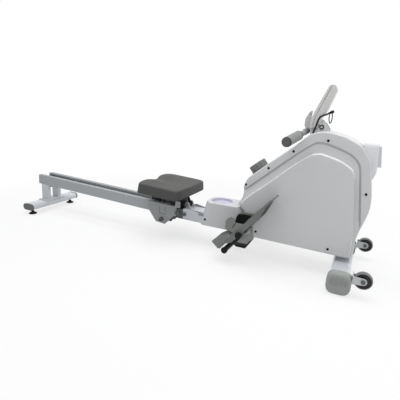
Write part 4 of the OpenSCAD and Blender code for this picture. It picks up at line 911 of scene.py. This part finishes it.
def pull_strap():
    """Web strap from the guide roller to the handle, with rolled edges."""
    fall = math.radians(33)
    along = Vector((-math.cos(fall), 0, -math.sin(fall)))
    up = Vector((-math.sin(fall), 0, math.cos(fall)))
    start = Vector((ROLLER_AT[0], 0, ROLLER_AT[1])) + up * 12.3
    run = math.hypot(ROLLER_AT[0] - HANDLE_AT[0], ROLLER_AT[1] - HANDLE_AT[1]) - 17.5
    steps = 12
    section = [(-12, 0.5), (-11.4, 0.05), (11.4, 0.05), (12, 0.5), (12, 1.5), (11.4, 1.95), (-11.4, 1.95),
               (-12, 1.5)]
    rings = []
    for i in range(steps + 1):
        p = start + along * run * i / steps
        rings.append([tuple(p + up * h + Vector((0, y, 0))) for y, h in section])
    ob = piece("strap_run", *loft(rings), WEB, body=None, replaces=("pull_strap",), slot="strap_web")
    return ob, start, start + along * run


strap, strap_a, strap_b = pull_strap()
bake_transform(strap)


# ---------------------------------------------------------------- foot straps
def foot_place(u, y, n):
    """A place u up along the foot plate and n square to it."""
    return sloped(u, y, n, FOOT_AT, -math.radians(FOOT_TILT))


def arch(w, h, steps, power=0.8):
    """Half a rounded loop, w wide and h deep."""
    out = []
    for i in range(steps + 1):
        t = math.pi * i / steps
        out.append((w / 2 * math.cos(t), h * math.sin(t) ** power if 0 < i < steps else 0))
    return out


def foot_straps():
    """Upright loops that cross the sloping plates, low at the outer end, each lined with foam."""
    steps, root_x, plate_top = 44, -425, 23.6

    def loop(side, out, inn, levels, look, name, low, top, **more):
        """A loop between two arches; its near wall ends at low and its far wall at top."""
        rings = []
        for (yo, xo), (yi, xi) in zip(arch(*out, steps), arch(*inn, steps)):
            rings.append([(root_x - (xi + (xo - xi) * f), side * (FOOT_MIDDLE + yi + (yo - yi) * f), z)
                          for z, f in levels])
        ob = piece(name, *loft(rings), look, body=None, slot="strap_web", **more)
        outer = [(-570, 177), (-546, 182), (-537, 204), (-522, 221), (-506, low + 22), (-494, low + 20),
                 (-485, low + 5), (-478, low), (-300, low), (-300, 320), (-570, 320)]
        inner = [(-570, 175.5), (-514, 175.5), (-507, 198), (-504, 212), (-497, 226), (-482, top), (-300, top),
                 (-300, 320), (-570, 320)]
        cut(ob, block(-160, -230, -90, 160, 230, plate_top, -FOOT_TILT, FOOT_AT),
            prism(outer, *sorted((side * 152, side * 230))), prism(inner, *sorted((side * 60, side * 152.2))))
        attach(ob, name.split("_")[0] + "_foot")
        return ob

    for side, name in SIDES:
        loop(side, (104, 120), (97.6, 116.8),
             ((160.8, 1), (160, 0.6), (160, 0.4), (160.8, 0), (235.2, 0), (236, 0.4), (236, 0.6), (235.2, 1)),
             BAND, name + "_strap_band", 210, 236.5, replaces=(name + "_foot_strap",))
        pad = loop(side, (97.4, 116.7), (88, 111.6),
                   ((163, 0.9), (162, 0.5), (163, 0.1), (166, 0), (230, 0), (233, 0.1), (234, 0.5), (233, 0.9),
                    (230, 1), (166, 1)), PADDING, name + "_strap_pad", 207, 227)


foot_straps()


def edge_lines():
    """Dark lines of painted shade: one down the outer face of each strap, and one along the lower edge of each foot
    plate for its shaded underside.
    """
    plate_edge = ((197, 15), (128, -4.4), (-54, -4.4))
    for side, name in SIDES:
        # painted shade: a dark tube down the strap's outer face where its near flap meets the turned-over band
        run = [(-478, side * 204.2, 212), (-486, side * 202.6, 198), (-495, side * 200.2, 184)]
        seam = piece(name + "_strap_gap_shade", *tube(run, 1.3, 8), INK, body=None, slot="strap_web")
        # painted shade: a dark tube along each plate's lower edge stands for its shaded underside
        underside_shade_lines = [tube([foot_place(u, side * (FOOT_MIDDLE + y), n) for u, n in plate_edge], 1.1, 8)
                for y in (-50.5, 50.5)]
        underside_shade_line = piece(name + "_plate_underside_shade", *merge(*underside_shade_lines), INK, body=None, slot="dark_plastic")
        for ob in (seam, underside_shade_line):
            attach(ob, name + "_foot")


edge_lines()


# ---------------------------------------------------------------- stage and light
def direct_ray(new, link):
    """1 for rays that come from the camera, a mirror or glass, 0 for rays that carry light."""
    ray = new("ShaderNodeLightPath")
    seen = maths(new, link, "MAXIMUM", ray.outputs["Is Camera Ray"], ray.outputs["Is Glossy Ray"])
    return maths(new, link, "MAXIMUM", seen, ray.outputs["Is Transmission Ray"])


def stage():
    """A floor that looks white beyond the shadow, and a white world that lights softly."""
    floor_mat = bpy.data.materials.new("floor")
    floor_mat.use_nodes = True
    t = floor_mat.node_tree
    new, link = t.nodes.new, t.links.new
    plain = put(t.nodes["Principled BSDF"], Base_Color=(0.8, 0.8, 0.8, 1), Roughness=0.9)
    glow = put(new("ShaderNodeEmission"), Color=(1, 1, 1, 1), Strength=1.0)
    away = new("ShaderNodeVectorMath")
    away.operation = "LENGTH"
    link(new("ShaderNodeTexCoord").outputs["Object"], away.inputs[0])
    fade = put(new("ShaderNodeMapRange"), From_Min=0.9, From_Max=2.0, To_Min=0.72)
    fade.interpolation_type = "SMOOTHSTEP"
    link(away.outputs["Value"], fade.inputs["Value"])
    mix = new("ShaderNodeMixShader")
    link(maths(new, link, "MULTIPLY", direct_ray(new, link), fade.outputs["Result"]), mix.inputs["Fac"])
    link(plain.outputs[0], mix.inputs[1])
    link(glow.outputs[0], mix.inputs[2])
    link(mix.outputs[0], t.nodes["Material Output"].inputs["Surface"])
    me = bpy.data.meshes.new("floor")
    corners = ((-14, -14), (14, -14), (14, 14), (-14, 14))
    me.from_pydata([(x, y, -0.0005) for x, y in corners], [], [(0, 1, 2, 3)])
    me.materials.append(floor_mat)
    floor = bpy.data.objects.new("floor", me)
    bpy.context.scene.collection.objects.link(floor)

    world = bpy.data.worlds.new("world")
    bpy.context.scene.world = world
    world.use_nodes = True
    t = world.node_tree
    new, link = t.nodes.new, t.links.new
    t.nodes.clear()
    seen = put(new("ShaderNodeBackground"), Color=(1, 1, 1, 1), Strength=1.0)
    lit = put(new("ShaderNodeBackground"), Color=(0.97, 0.985, 1, 1), Strength=0.4)
    mix = new("ShaderNodeMixShader")
    link(direct_ray(new, link), mix.inputs["Fac"])
    link(lit.outputs[0], mix.inputs[1])
    link(seen.outputs[0], mix.inputs[2])
    link(mix.outputs[0], new("ShaderNodeOutputWorld").inputs["Surface"])


def lamp(name, at, look, size, watts):
    """A white rectangular lamp that looks at a point."""
    data = bpy.data.lights.new(name, "AREA")
    data.shape = "RECTANGLE"
    data.size, data.size_y = size
    data.energy = watts
    ob = bpy.data.objects.new(name, data)
    ob.location = at
    ob.rotation_euler = (Vector(look) - Vector(at)).to_track_quat("-Z", "Y").to_euler()
    bpy.context.scene.collection.objects.link(ob)


stage()
lamp("overhead", (0.1, -0.2, 3.2), (0.1, 0, 0.3), (4.2, 2.6), 105)
lamp("front_fill", (1.6, -2.8, 1.5), (0.2, 0, 0.35), (1.8, 1.4), 6)
lamp("side_fill", (3.4, 0.9, 1.3), (0.2, 0, 0.4), (1.8, 1.8), 26)

scene = bpy.context.scene
scene.view_settings.view_transform = "Standard"
